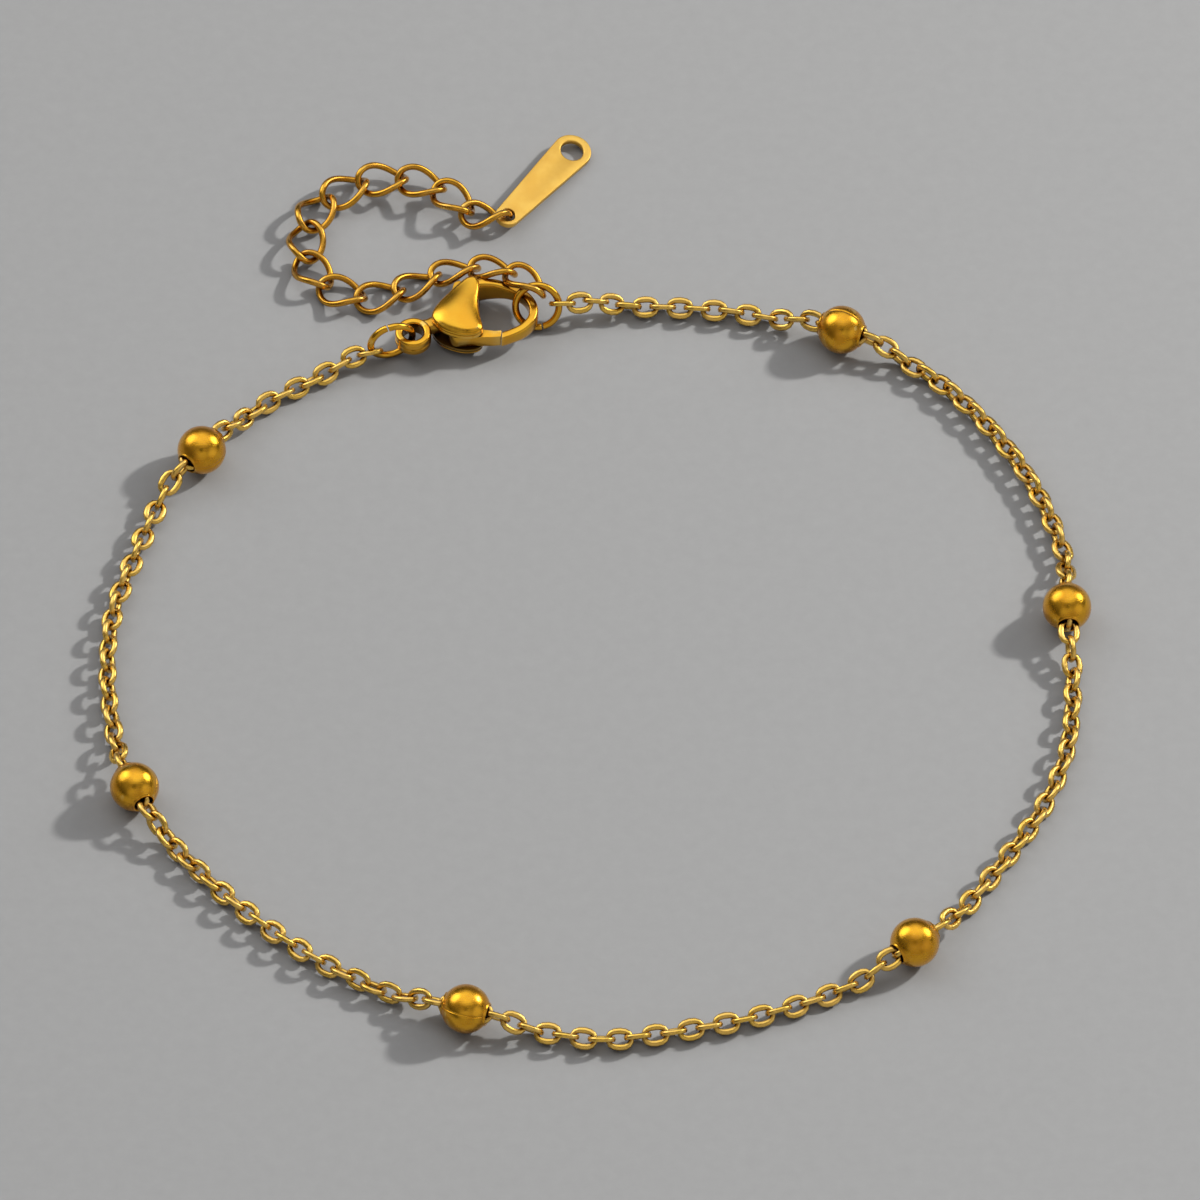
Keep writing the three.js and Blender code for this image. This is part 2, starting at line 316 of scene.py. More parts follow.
def at_stations(
    points: Sequence[Vector], lengths: Sequence[float], stations: Sequence[float]
) -> list[Vector]:
    """Finds places along a line.

    Args:
        points: The line's points, in order.
        lengths: How far along the line each point is.
        stations: How far along the line the places are.

    Returns:
        The places.
    """
    columns = [np.interp(stations, lengths, [point[axis] for point in points]) for axis in range(3)]
    return [Vector(row) for row in np.stack(columns, axis=1)]


def spaced_evenly(points: Sequence[Vector], spacing: float) -> list[Vector]:
    """Spreads points evenly round a closed loop.

    Args:
        points: The loop, in order.
        spacing: About how far apart the new points are.

    Returns:
        The new loop.
    """
    ring = [*points, points[0]]
    lengths = running_lengths(ring)
    count = round(lengths[-1] / spacing)
    return at_stations(ring, lengths, np.linspace(0, lengths[-1], count, endpoint=False))


def smooth_route(points: Sequence[Vector], spacing: float, finer: int = 24) -> list[Vector]:
    """Draws a smooth open curve through points.

    Args:
        points: What the curve passes through.
        spacing: About how far apart the curve's own points are.
        finer: How many steps the curve is worked out in between two points.

    Returns:
        The curve's points, evenly spaced.
    """
    ends = [2 * points[0] - points[1], *points, 2 * points[-1] - points[-2]]
    dense = []
    for a, b, c, d in zip(ends, ends[1:], ends[2:], ends[3:]):
        slope = c - a
        bend = 2 * a - 5 * b + 4 * c - d
        twist = 3 * b - a - 3 * c + d
        for step in range(finer):
            t = step / finer
            dense.append(0.5 * (2 * b + slope * t + bend * t**2 + twist * t**3))
    dense.append(points[-1].copy())
    lengths = running_lengths(dense)
    count = round(lengths[-1] / spacing) + 1
    return at_stations(dense, lengths, np.linspace(0, lengths[-1], count))


class OutlineStack:
    """A skin that climbs from a flat outline in layers, each moved in and up from the last."""

    def __init__(
        self, shape: bmesh.types.BMesh, outline: Sequence[Vector], height: float, inset: float = 0.0
    ) -> None:
        """Starts with a floor at one height.

        Args:
            shape: The mesh that gets the skin.
            outline: The outline, running anticlockwise.
            height: Where the floor is.
            inset: How far the floor is set in from the outline.
        """
        self.shape = shape
        self.outline = [Vector((point.x, point.y, 0)) for point in outline]
        self.inward = self._inward_directions()
        self.index = shape.verts.layers.int.get("place") or shape.verts.layers.int.new("place")
        self.edges = loop_through(shape, self.outline)
        for number, edge in enumerate(self.edges):
            edge.verts[1][self.index] = number
        self.move_rim(inset, height)
        bmesh.ops.contextual_create(shape, geom=self.edges)

    def _inward_directions(self) -> list[Vector]:
        """Finds the way into the outline.

        Returns:
            The direction inward at each of the outline's points.
        """
        count = len(self.outline)
        directions = []
        for i in range(count):
            along = self.outline[(i + 1) % count] - self.outline[i - 1]
            directions.append(Vector((-along.y, along.x, 0)).normalized())
        return directions

    def move_rim(self, inset: float, height: float) -> None:
        """Moves the open loop.

        Args:
            inset: How far it is set in from the outline.
            height: Where it is put.
        """
        for vert in {vert for edge in self.edges for vert in edge.verts}:
            number = vert[self.index]
            vert.co = self.outline[number] + self.inward[number] * inset
            vert.co.z = height

    def climb(self, layers: Iterable[Flat]) -> None:
        """Adds layers above the open loop.

        Args:
            layers: Each layer's inset from the outline and its height.
        """
        for inset, height in layers:
            made = bmesh.ops.extrude_edge_only(self.shape, edges=self.edges)["geom"]
            raised = set(only(bmesh.types.BMVert, made))
            edges = only(bmesh.types.BMEdge, made)
            self.edges = [edge for edge in edges if raised.issuperset(edge.verts)]
            self.move_rim(inset, height)

    def cap(self) -> bmesh.types.BMFace:
        """Closes the open loop and returns its face."""
        made = bmesh.ops.contextual_create(self.shape, geom=self.edges)
        return made["faces"][0]


def crown(
    shape: bmesh.types.BMesh,
    face: bmesh.types.BMFace,
    rise: float,
    grid: float,
    front_fullness: float = 1.0,
    back_fullness: float = 1.0,
    rounds: int = 2500,
) -> None:
    """Puffs a flat face up like a stretched skin, highest where it is widest.

    Args:
        shape: The mesh that the face is in.
        face: The flat face.
        rise: How far its highest point rises; below 0 it sinks.
        grid: The size of the dome's facets.
        front_fullness: The power that shapes the low Y end; less than 1 makes it flatter on top.
        back_fullness: The same for the high Y end.
        rounds: How many times the skin is let settle.
    """
    rim = [vert.co.copy() for vert in face.verts]
    faces = [face]
    for axis, normal in enumerate((X_AXIS, Y_AXIS)):
        low = min(point[axis] for point in rim)
        high = max(point[axis] for point in rim)
        for step in range(1, int((high - low) / grid) + 1):
            geometry = each_once(item for one in faces for item in (*one.verts, *one.edges, one))
            cut = bmesh.ops.bisect_plane(
                shape, geom=geometry, dist=WELD, plane_co=normal * (low + step * grid), plane_no=normal
            )
            faces = only(bmesh.types.BMFace, cut["geom"])
    domed = set(faces)
    verts = each_once(vert for one in faces for vert in one.verts)
    number = {vert: i for i, vert in enumerate(verts)}
    edges = each_once(edge for one in faces for edge in one.edges)
    starts = np.array([number[edge.verts[0]] for edge in edges])
    ends = np.array([number[edge.verts[1]] for edge in edges])
    spread = np.array([edge.calc_length() for edge in edges])
    shortest = grid / 20
    pull = 1 / np.maximum(spread, shortest)
    free = np.array([all(one in domed for one in vert.link_faces) for vert in verts])
    total = np.bincount(starts, pull, len(verts)) + np.bincount(ends, pull, len(verts))
    load = np.bincount(starts, spread, len(verts)) + np.bincount(ends, spread, len(verts))
    height = np.zeros(len(verts))
    for _ in range(rounds):
        drawn = np.bincount(starts, pull * height[ends], len(verts))
        drawn += np.bincount(ends, pull * height[starts], len(verts))
        height = np.where(free, (drawn + load) / total, 0.0)
    along = np.array([vert.co.y for vert in verts])
    back = (along - along.min()) / (along.max() - along.min())
    fullness = front_fullness + (back_fullness - front_fullness) * back
    for vert, share in zip(verts, (height / height.max()) ** fullness):
        vert.co.z += rise * share


def flat_plate(
    shape: bmesh.types.BMesh,
    loops: Sequence[Sequence[Flat]],
    thickness: float,
    roundings: Sequence[float],
    segments: int = 3,
) -> None:
    """Makes a plate from an outline with holes, with its rims rounded.

    Args:
        shape: The empty mesh that gets the plate.
        loops: The outline first, then its holes.
        thickness: The plate's thickness, half of it above the middle plane.
        roundings: How far the rims of each loop are rounded.
        segments: How many steps a rim's round has.
    """
    edges = []
    owner = shape.verts.layers.int.new("owner")
    for number, loop in enumerate(loops):
        drawn = loop_through(shape, [Vector((x, y, -thickness / 2)) for x, y in loop])
        for edge in drawn:
            edge.verts[0][owner] = edge.verts[1][owner] = number
        edges += drawn
    bmesh.ops.triangle_fill(shape, use_beauty=True, use_dissolve=False, edges=edges)
    made = bmesh.ops.extrude_face_region(shape, geom=shape.faces[:])
    lifted = only(bmesh.types.BMVert, made["geom"])
    bmesh.ops.translate(shape, verts=lifted, vec=(0, 0, thickness))
    bmesh.ops.recalc_face_normals(shape, faces=shape.faces[:])
    rims = [
        edge for edge in sharp_edges(shape) if abs(edge.verts[0].co.z - edge.verts[1].co.z) < SAME_PLANE
    ]
    groups = [[edge for edge in rims if edge.verts[0][owner] == number] for number in range(len(loops))]
    for group, rounding in zip(groups, roundings):
        bevel_edges(shape, group, rounding, segments)


def sharp_edges(shape: bmesh.types.BMesh) -> list[bmesh.types.BMEdge]:
    """Returns the edges where two faces meet at a sharp corner."""
    return [edge for edge in shape.edges if edge.is_manifold and edge.calc_face_angle(0.0) > SHARP_CORNER]


def bevel_edges(
    shape: bmesh.types.BMesh, edges: list[bmesh.types.BMEdge], width: float, segments: int
) -> None:
    """Rounds edges over.

    Args:
        shape: The mesh that the edges are in.
        edges: The edges.
        width: How far each is cut back.
        segments: How many steps the round has.
    """
    bmesh.ops.bevel(
        shape,
        geom=edges,
        offset=width,
        offset_type="OFFSET",
        affect="EDGES",
        segments=segments,
        profile=0.5,
        material=-1,
        clamp_overlap=True,
    )


@dataclass
class Piece:
    """One finished piece: its name, what it stands for, what it moves with and its finish.

    The shade lining, where there is one, is a near-black material that paints shade on the faces marked
    with the second material. Faces that meet at more than the crease, in degrees, are shaded apart.
    """

    name: str
    nodes: Sequence[str]
    slot: Slot
    material: bpy.types.Material
    body: str = BODY
    crease: float = 38.0
    shade_lining: bpy.types.Material | None = None

    def finish(self, shape: bmesh.types.BMesh) -> bpy.types.Object:
        """Cleans a mesh, brings it to metres and makes it a piece of the anklet.

        Args:
            shape: The mesh in millimetres, which is used up.

        Returns:
            The piece's object.
        """
        bmesh.ops.remove_doubles(shape, verts=shape.verts[:], dist=WELD)
        bmesh.ops.recalc_face_normals(shape, faces=shape.faces[:])
        bmesh.ops.scale(shape, vec=(METRES, METRES, METRES), verts=shape.verts[:])
        mesh = bpy.data.meshes.new(self.name)
        shape.to_mesh(mesh)
        shape.free()
        mesh.shade_smooth()
        mesh.set_sharp_from_angle(angle=math.radians(self.crease))
        mesh.materials.append(self.material)
        if self.shade_lining is not None:
            mesh.materials.append(self.shade_lining)
        piece = bpy.data.objects.new(self.name, mesh)
        bpy.context.scene.collection.objects.link(piece)
        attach(piece, self.body)
        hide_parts(*self.nodes)
        log.info("%s: %d faces, stands for %s", self.name, len(mesh.polygons), ", ".join(self.nodes))
        return piece


# ---- finishes ------------------------------------------------------------------------


def feed(tree: bpy.types.NodeTree, socket: Socket, term: float | Colour | Socket) -> None:
    """Gives an input its value.

    Args:
        tree: The node tree.
        socket: The input.
        term: A number, a colour or the socket that it is read from.
    """
    if isinstance(term, Socket):
        tree.links.new(term, socket)
    else:
        socket.default_value = (*term, 1) if isinstance(term, tuple) else term


def value_node(
    tree: bpy.types.NodeTree, operation: str, first: float | Socket, second: float | Socket
) -> Socket:
    """Adds one sum.

    Args:
        tree: The node tree.
        operation: What is done with the two terms.
        first: The first term.
        second: The second term.

    Returns:
        The result.
    """
    node = tree.nodes.new("ShaderNodeMath")
    node.operation = operation
    feed(tree, node.inputs[0], first)
    feed(tree, node.inputs[1], second)
    return node.outputs[0]


def colour_node(
    tree: bpy.types.NodeTree, share: Socket, first: Colour | Socket, second: Colour
) -> Socket:
    """Adds one mix of two colours.

    Args:
        tree: The node tree.
        share: How much of the second colour there is.
        first: The first colour.
        second: The second colour.

    Returns:
        The mixed colour.
    """
    node = tree.nodes.new("ShaderNodeMix")
    node.data_type = "RGBA"
    feed(tree, node.inputs["Factor"], share)
    feed(tree, node.inputs["A"], first)
    feed(tree, node.inputs["B"], second)
    return node.outputs["Result"]


def noise_node(
    tree: bpy.types.NodeTree, vector: Socket, scale: float | Socket, detail: float, roughness: float
) -> Socket:
    """Adds a noise pattern and returns its value.

    Args:
        tree: The node tree.
        vector: Where the pattern is read.
        scale: Its scale, a number or a socket.
        detail: How many finer layers it has.
        roughness: How strong those are.

    Returns:
        The pattern's value, from 0 to 1.
    """
    node = tree.nodes.new("ShaderNodeTexNoise")
    node.inputs["Detail"].default_value = detail
    node.inputs["Roughness"].default_value = roughness
    feed(tree, node.inputs["Vector"], vector)
    feed(tree, node.inputs["Scale"], scale)
    return node.outputs[0]


def range_node(tree: bpy.types.NodeTree, value: Socket, low: float, high: float) -> Socket:
    """Spreads part of a value's range over 0 to 1, smoothly.

    Args:
        tree: The node tree.
        value: The value.
        low: What becomes 0.
        high: What becomes 1.

    Returns:
        The new value.
    """
    node = tree.nodes.new("ShaderNodeMapRange")
    node.interpolation_type = "SMOOTHSTEP"
    node.inputs["From Min"].default_value = low
    node.inputs["From Max"].default_value = high
    tree.links.new(value, node.inputs["Value"])
    return node.outputs[0]


class FinishGroups:
    """The node groups that the gold finishes share, each built once."""

    PATTERN = (("Vector", "NodeSocketVector"), ("Scale", "NodeSocketFloat"))
    DISTANCE = (("Reach", "NodeSocketFloat"),)

    def __init__(self) -> None:
        """Builds the groups."""
        self.clouds = self._clouds()
        self.scratches = self._scratches()
        self.dents = self._dents()
        self.wear = self._wear()
        self.painted_shade = self._painted_shade()

    @staticmethod
    def _group(
        name: str, inputs: Sequence[tuple[str, str]], output: str
    ) -> tuple[bpy.types.NodeTree, list[Socket], Socket]:
        """Starts a group.

        Args:
            name: The group's name.
            inputs: Each input's name and its socket type.
            output: The name of its one output.

        Returns:
            The group, what its inputs give, and the socket that its result goes to.
        """
        tree = bpy.data.node_groups.new(name, "ShaderNodeTree")
        for label, kind in inputs:
            tree.interface.new_socket(name=label, in_out="INPUT", socket_type=kind)
        tree.interface.new_socket(name=output, in_out="OUTPUT", socket_type="NodeSocketFloat")
        given = tree.nodes.new("NodeGroupInput")
        result = tree.nodes.new("NodeGroupOutput")
        return tree, [given.outputs[label] for label, _ in inputs], result.inputs[output]

    def _clouds(self) -> bpy.types.NodeTree:
        """Builds soft patches where the plating is deeper in colour.

        Returns:
            The group.
        """
        tree, (vector, scale), result = self._group("plating_clouds", self.PATTERN, "Mask")
        broad = noise_node(tree, vector, scale, detail=3.0, roughness=0.55)
        tree.links.new(range_node(tree, broad, low=0.36, high=0.66), result)
        return tree

    def _scratches(self) -> bpy.types.NodeTree:
        """Builds fine polishing lines that run two ways.

        Returns:
            The group.
        """
        tree, (vector, scale), result = self._group("polishing_lines", self.PATTERN, "Height")
        lines = []
        for turn, stretch in ((0.4, 14.0), (1.9, 9.0)):
            mapping = tree.nodes.new("ShaderNodeMapping")
            mapping.inputs["Rotation"].default_value = (turn, turn / 2, turn)
            mapping.inputs["Scale"].default_value = (1.0, stretch, stretch)
            tree.links.new(vector, mapping.inputs["Vector"])
            line = noise_node(tree, mapping.outputs[0], scale, detail=2.0, roughness=0.5)
            lines.append(range_node(tree, line, low=0.42, high=0.72))
        tree.links.new(value_node(tree, "MAXIMUM", *lines), result)
        return tree

    def _dents(self) -> bpy.types.NodeTree:
        """Builds the slight waves and knocks of thin rolled metal.

        Returns:
            The group.
        """
        tree, (vector, scale), result = self._group("slight_dents", self.PATTERN, "Height")
        waves = noise_node(tree, vector, scale, detail=1.0, roughness=0.4)
        finer = value_node(tree, "MULTIPLY", scale, 4.0)
        knocks = noise_node(tree, vector, finer, detail=2.0, roughness=0.5)
        knocks = range_node(tree, knocks, low=0.6, high=0.8)
        knocks = value_node(tree, "MULTIPLY", knocks, 0.25)
        tree.links.new(value_node(tree, "SUBTRACT", waves, knocks), result)
        return tree

    def _wear(self) -> bpy.types.NodeTree:
        """Builds the brighter metal where edges are rubbed.

        Returns:
            The group.
        """
        tree, (vector, scale), result = self._group("rubbed_edges", self.PATTERN, "Mask")
        geometry = tree.nodes.new("ShaderNodeNewGeometry")
        edges = range_node(tree, geometry.outputs["Pointiness"], low=0.52, high=0.60)
        patches = noise_node(tree, vector, scale, detail=2.0, roughness=0.5)
        patches = range_node(tree, patches, low=0.3, high=0.6)
        tree.links.new(value_node(tree, "MULTIPLY", edges, patches), result)
        return tree

    def _painted_shade(self) -> bpy.types.NodeTree:
        """Builds painted shade from ambient occlusion: darker where pieces meet, in narrow gaps and near
        the table.

        Returns:
            The group.
        """
        tree, (reach,), result = self._group("painted_recess_shade", self.DISTANCE, "Mask")
        sight = tree.nodes.new("ShaderNodeAmbientOcclusion")
        sight.samples = 16
        tree.links.new(reach, sight.inputs["Distance"])
        open_share = range_node(tree, sight.outputs["AO"], low=0.20, high=0.85)
        tree.links.new(value_node(tree, "SUBTRACT", 1.0, open_share), result)
        return tree


@dataclass(frozen=True)
class GoldFinish:
    """One finish of plated gold. Sizes are in millimetres and colours are linear.

    The tone turns to the deeper shade colour in cloudy patches and to the rubbed colour on edges. Painted
    shade then darkens it where ambient occlusion finds other surfaces within the painted shade's reach: in
    gaps, where pieces meet and near the table.
    """

    name: str
    tone: Colour
    shade: Colour
    rubbed: Colour
    roughness: float
    roughness_spread: float
    cloud_size: float
    scratch_size: float
    scratch_depth: float
    dent_size: float
    dent_depth: float
    # Painted shade: the dark colour mixed in by ambient occlusion, and how far in millimetres it looks for
    # nearby surfaces.
    painted_shade: Colour = (0.15, 0.055, 0.003)
    painted_shade_reach: float = 1.0
    lacquer: float = 0.35
    lacquer_roughness: float = 0.12

    @staticmethod
    def _pattern(
        tree: bpy.types.NodeTree, group: bpy.types.NodeTree, vector: Socket, size: float
    ) -> Socket:
        """Adds a group's pattern.

        Args:
            tree: The material's node tree.
            group: The group.
            vector: Where the pattern is read, in millimetres.
            size: The size of the pattern's features.

        Returns:
            The group's result.
        """
        node = tree.nodes.new("ShaderNodeGroup")
        node.node_tree = group
        node.inputs["Scale"].default_value = 1 / size
        tree.links.new(vector, node.inputs["Vector"])
        return node.outputs[0]

    @staticmethod
    def _bump(tree: bpy.types.NodeTree, height: Socket, depth: float) -> bpy.types.Node:
        """Adds a bump.

        Args:
            tree: The material's node tree.
            height: The pattern that it follows.
            depth: How deep it is, in millimetres.

        Returns:
            The bump's node.
        """
        node = tree.nodes.new("ShaderNodeBump")
        node.inputs["Distance"].default_value = depth * METRES
        tree.links.new(height, node.inputs["Height"])
        return node

    def material(self, groups: FinishGroups) -> bpy.types.Material:
        """Builds the finish's material.

        Args:
            groups: The node groups that the finishes share.

        Returns:
            The material.
        """
        made = bpy.data.materials.new(self.name)
        made.use_nodes = True
        tree = made.node_tree
        shader = tree.nodes["Principled BSDF"]
        shader.inputs["Metallic"].default_value = 1.0
        shader.inputs["Coat Weight"].default_value = self.lacquer
        shader.inputs["Coat Roughness"].default_value = self.lacquer_roughness
        coordinates = tree.nodes.new("ShaderNodeTexCoord")
        mapping = tree.nodes.new("ShaderNodeMapping")
        mapping.inputs["Scale"].default_value = (1 / METRES, 1 / METRES, 1 / METRES)
        tree.links.new(coordinates.outputs["Object"], mapping.inputs["Vector"])
        vector = mapping.outputs[0]

        clouds = self._pattern(tree, groups.clouds, vector, self.cloud_size)
        wear = self._pattern(tree, groups.wear, vector, self.cloud_size)
        colour = colour_node(tree, clouds, self.tone, self.shade)
        colour = colour_node(tree, wear, colour, self.rubbed)
        # Painted shade: ambient occlusion darkens the colour in gaps, at contacts and near the table.
        painted_shade = tree.nodes.new("ShaderNodeGroup")
        painted_shade.node_tree = groups.painted_shade
        painted_shade.inputs["Reach"].default_value = self.painted_shade_reach * METRES
        colour = colour_node(tree, painted_shade.outputs["Mask"], colour, self.painted_shade)
        tree.links.new(colour, shader.inputs["Base Color"])

        scratches = self._pattern(tree, groups.scratches, vector, self.scratch_size)
        dulled = value_node(tree, "MULTIPLY", clouds, self.roughness_spread)
        lined = value_node(tree, "MULTIPLY", scratches, self.roughness_spread / 2)
        rough = value_node(tree, "ADD", dulled, lined)
        rough = value_node(tree, "ADD", rough, self.roughness)
        tree.links.new(rough, shader.inputs["Roughness"])

        dents = self._pattern(tree, groups.dents, vector, self.dent_size)
        dented = self._bump(tree, dents, self.dent_depth)
        scratched = self._bump(tree, scratches, self.scratch_depth)
        tree.links.new(dented.outputs[0], scratched.inputs["Normal"])
        tree.links.new(scratched.outputs[0], shader.inputs["Normal"])
        return made


DEEP_GOLD: Colour = (0.84, 0.43, 0.022)
BRIGHT_GOLD: Colour = (0.92, 0.58, 0.12)
BROWN_GOLD: Colour = (0.72, 0.33, 0.016)

BEAD_FINISH = GoldFinish(
    name="bead_gold",
    tone=DEEP_GOLD,
    shade=BROWN_GOLD,
    rubbed=BRIGHT_GOLD,
    roughness=0.19,
    roughness_spread=0.10,
    cloud_size=1.4,
    scratch_size=0.9,
    scratch_depth=0.002,
    dent_size=1.3,
    dent_depth=0.03,
    painted_shade_reach=0.6,
    lacquer=0.2,
)
# Near-black painted shade for the insides of the beads and the clasp's slot, rougher than the polished
# gold.
SHADE_LINING_FINISH = GoldFinish(
    name="painted_shade_lining",
    tone=(0.10, 0.045, 0.006),
    shade=(0.05, 0.02, 0.003),
    rubbed=(0.16, 0.07, 0.01),
    roughness=0.55,
    roughness_spread=0.20,
    cloud_size=0.8,
    scratch_size=0.5,
    scratch_depth=0.004,
    dent_size=0.6,
    dent_depth=0.02,
    painted_shade=(0.015, 0.006, 0.001),
    lacquer=0.0,
)
CLASP_FINISH = GoldFinish(
    name="clasp_gold",
    tone=(0.81, 0.43, 0.023),
    shade=(0.80, 0.39, 0.016),
    rubbed=BRIGHT_GOLD,
    roughness=0.18,
    roughness_spread=0.06,
    cloud_size=2.6,
    scratch_size=0.8,
    scratch_depth=0.0003,
    dent_size=4.0,
    dent_depth=0.012,
    painted_shade_reach=2.0,
)
CHAIN_FINISH = GoldFinish(
    name="chain_gold",
    tone=(0.88, 0.55, 0.075),
    shade=(0.74, 0.42, 0.045),
    rubbed=BRIGHT_GOLD,
    roughness=0.20,
    roughness_spread=0.10,
    cloud_size=1.1,
    scratch_size=0.5,
    scratch_depth=0.0008,
    dent_size=1.0,
    dent_depth=0.012,
    painted_shade_reach=0.8,
    lacquer=0.6,
)
EXTENDER_FINISH = GoldFinish(
    name="extender_gold",
    tone=(0.69, 0.345, 0.022),
    shade=(0.56, 0.25, 0.012),
    rubbed=BRIGHT_GOLD,
    roughness=0.17,
    roughness_spread=0.09,
    cloud_size=1.6,
    scratch_size=0.6,
    scratch_depth=0.001,
    dent_size=1.6,
    dent_depth=0.012,
    painted_shade_reach=1.0,
)
TAG_FINISH = GoldFinish(
    name="tag_gold",
    tone=(0.88, 0.54, 0.10),
    shade=(0.82, 0.47, 0.075),
    rubbed=BRIGHT_GOLD,
    roughness=0.34,
    roughness_spread=0.08,
    cloud_size=2.4,
    scratch_size=0.7,
    scratch_depth=0.003,
    dent_size=2.5,
    dent_depth=0.012,
    painted_shade_reach=0.5,
)


# ---- jump rings ----------------------------------------------------------------------


@dataclass
class JumpRing:
    """A saw-cut ring of round wire. Its plane leans back from flat by its incline."""

    name: str
    centre: tuple[float, float, float]
    heading: float
    incline: float
    cut: float
    radius: float = 1.8
    wire_radius: float = 0.3
    cut_degrees: float = 3.0
    cut_offset: float = 0.05
    cut_round: float = 0.04
    link_offset: float = 0.3
    sides: int = 18
    steps: int = 84

    def axes(self) -> tuple[Vector, Vector, Vector]:
        """Finds the ring's directions.

        Returns:
            Along its heading, up its plane and across it.
        """
        heading = math.radians(self.heading)
        along = Vector((math.cos(heading), math.sin(heading), 0))
        normal = Matrix.Rotation(math.radians(self.incline), 3, along) @ Z_AXIS
        return along, normal.cross(along), normal

    def outward(self, degrees: float) -> Vector:
        """Returns the direction from the ring's middle to a point on it."""
        along, up, _ = self.axes()
        return along * math.cos(math.radians(degrees)) + up * math.sin(math.radians(degrees))

    def link_middle(self, degrees: float) -> Vector:
        """Returns the middle of a chain link that hangs on the ring at an angle."""
        return Vector(self.centre) + self.outward(degrees) * (self.radius + self.link_offset)

    def build(self, material: bpy.types.Material) -> bpy.types.Object:
        """Spins the wire round from one side of its saw cut to the other.

        Args:
            material: The ring's finish.

        Returns:
            The piece.
        """
        shape = bmesh.new()
        along, up, normal = self.axes()
        wire = bmesh.ops.create_circle(
            shape, cap_ends=True, segments=self.sides, radius=self.wire_radius
        )
        stand = Matrix.Translation((self.radius, 0, 0)) @ Matrix.Rotation(math.pi / 2, 4, "X")
        bmesh.ops.transform(shape, matrix=stand, verts=wire["verts"])
        bmesh.ops.spin(
            shape,
            geom=shape.faces[:],
            cent=(0, 0, 0),
            axis=Z_AXIS,
            dvec=(0, 0, self.cut_offset / self.steps),
            angle=math.radians(360 - self.cut_degrees),
            steps=self.steps,
            use_merge=False,
            use_duplicate=False,
        )
        bevel_edges(shape, sharp_edges(shape), self.cut_round, 2)
        start = Matrix.Rotation(math.radians(self.cut + self.cut_degrees / 2), 4, "Z")
        bmesh.ops.transform(shape, matrix=start, verts=shape.verts[:])
        place = placed(along, up, normal, Vector(self.centre))
        bmesh.ops.transform(shape, matrix=place, verts=shape.verts[:])
        return Piece(f"{self.name}_wire", [self.name], Slot.CLASP, material).finish(shape)


CLASP_RING = JumpRing("clasp_ring", centre=(-16.75, 24.3, 2.12), heading=18, incline=90, cut=100)
END_RING = JumpRing("end_ring", centre=(-4.7, 28.1, 1.85), heading=0, incline=54, cut=-76)
CLASP_RING_LINK_AT = 206.0
END_RING_LINK_AT = 6.0


# ---- beads and chain -----------------------------------------------------------------

# The chain's route over the table, one row for each stretch between the beads.
CHAIN_ROUTES: list[list[Flat]] = [
    [(-21.3, 22.3), (-23.5, 20.9), (-25.6, 19.6), (-27.8, 18.0)],
    [(-35.5, 8.8), (-37.6, 3.0), (-39.4, -3.4), (-39.7, -9.9), (-38.9, -16.4)],
    [(-34.2, -26.5), (-30.7, -30.6), (-26.7, -34.5), (-22.6, -37.8), (-18.4, -40.4), (-15.0, -42.0)],
    [(-5.6, -44.9), (0.8, -45.9), (7.3, -45.0), (14.0, -43.4), (20.7, -40.7)],
    [(29.3, -33.8), (33.0, -28.5), (36.4, -22.9), (38.5, -17.0), (39.1, -10.3)],
    [(38.5, 3.3), (36.3, 9.8), (33.2, 15.3), (29.4, 20.0), (25.0, 23.5)],
    [(15.5, 27.3), (11.0, 28.3), (6.7, 28.7), (2.6, 28.8), (0.2, 28.7)],
]

# How far the links are rolled along each stretch, evenly from its start to its end, in degrees.
STRETCH_ROLLS: list[Sequence[float]] = [
    (55, 48, 40),
    (-12, -8, 8, 35, 45, 30),
    (58, 55, 32, 28, 60, 38),
    (20, 36, 38, 34, 25),
    (30, 42, 45, 40, 8),
    (25, 18, 14, 2, -22),
    (40, 58, 52, 60, 50),
]

# How far each bead's seam is turned about the chain, in degrees.
BEAD_SEAMS = (5.0, 25.0, 142.0, 250.0, 260.0, 103.0)


def bead_direction(index: int) -> Vector:
    """Finds which way the chain runs through a bead.

    Args:
        index: The bead's number, from 0.

    Returns:
        The direction.
    """
    before = Vector(CHAIN_ROUTES[index][-1])
    after = Vector(CHAIN_ROUTES[index + 1][0])
    return (after - before).to_3d().normalized()


def bead_middle(index: int) -> Vector:
    """Returns the middle of a bead, numbered from 0, as the frame has it."""
    low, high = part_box(f"bead_{index + 1}")
    return (low + high) / (2 * METRES)


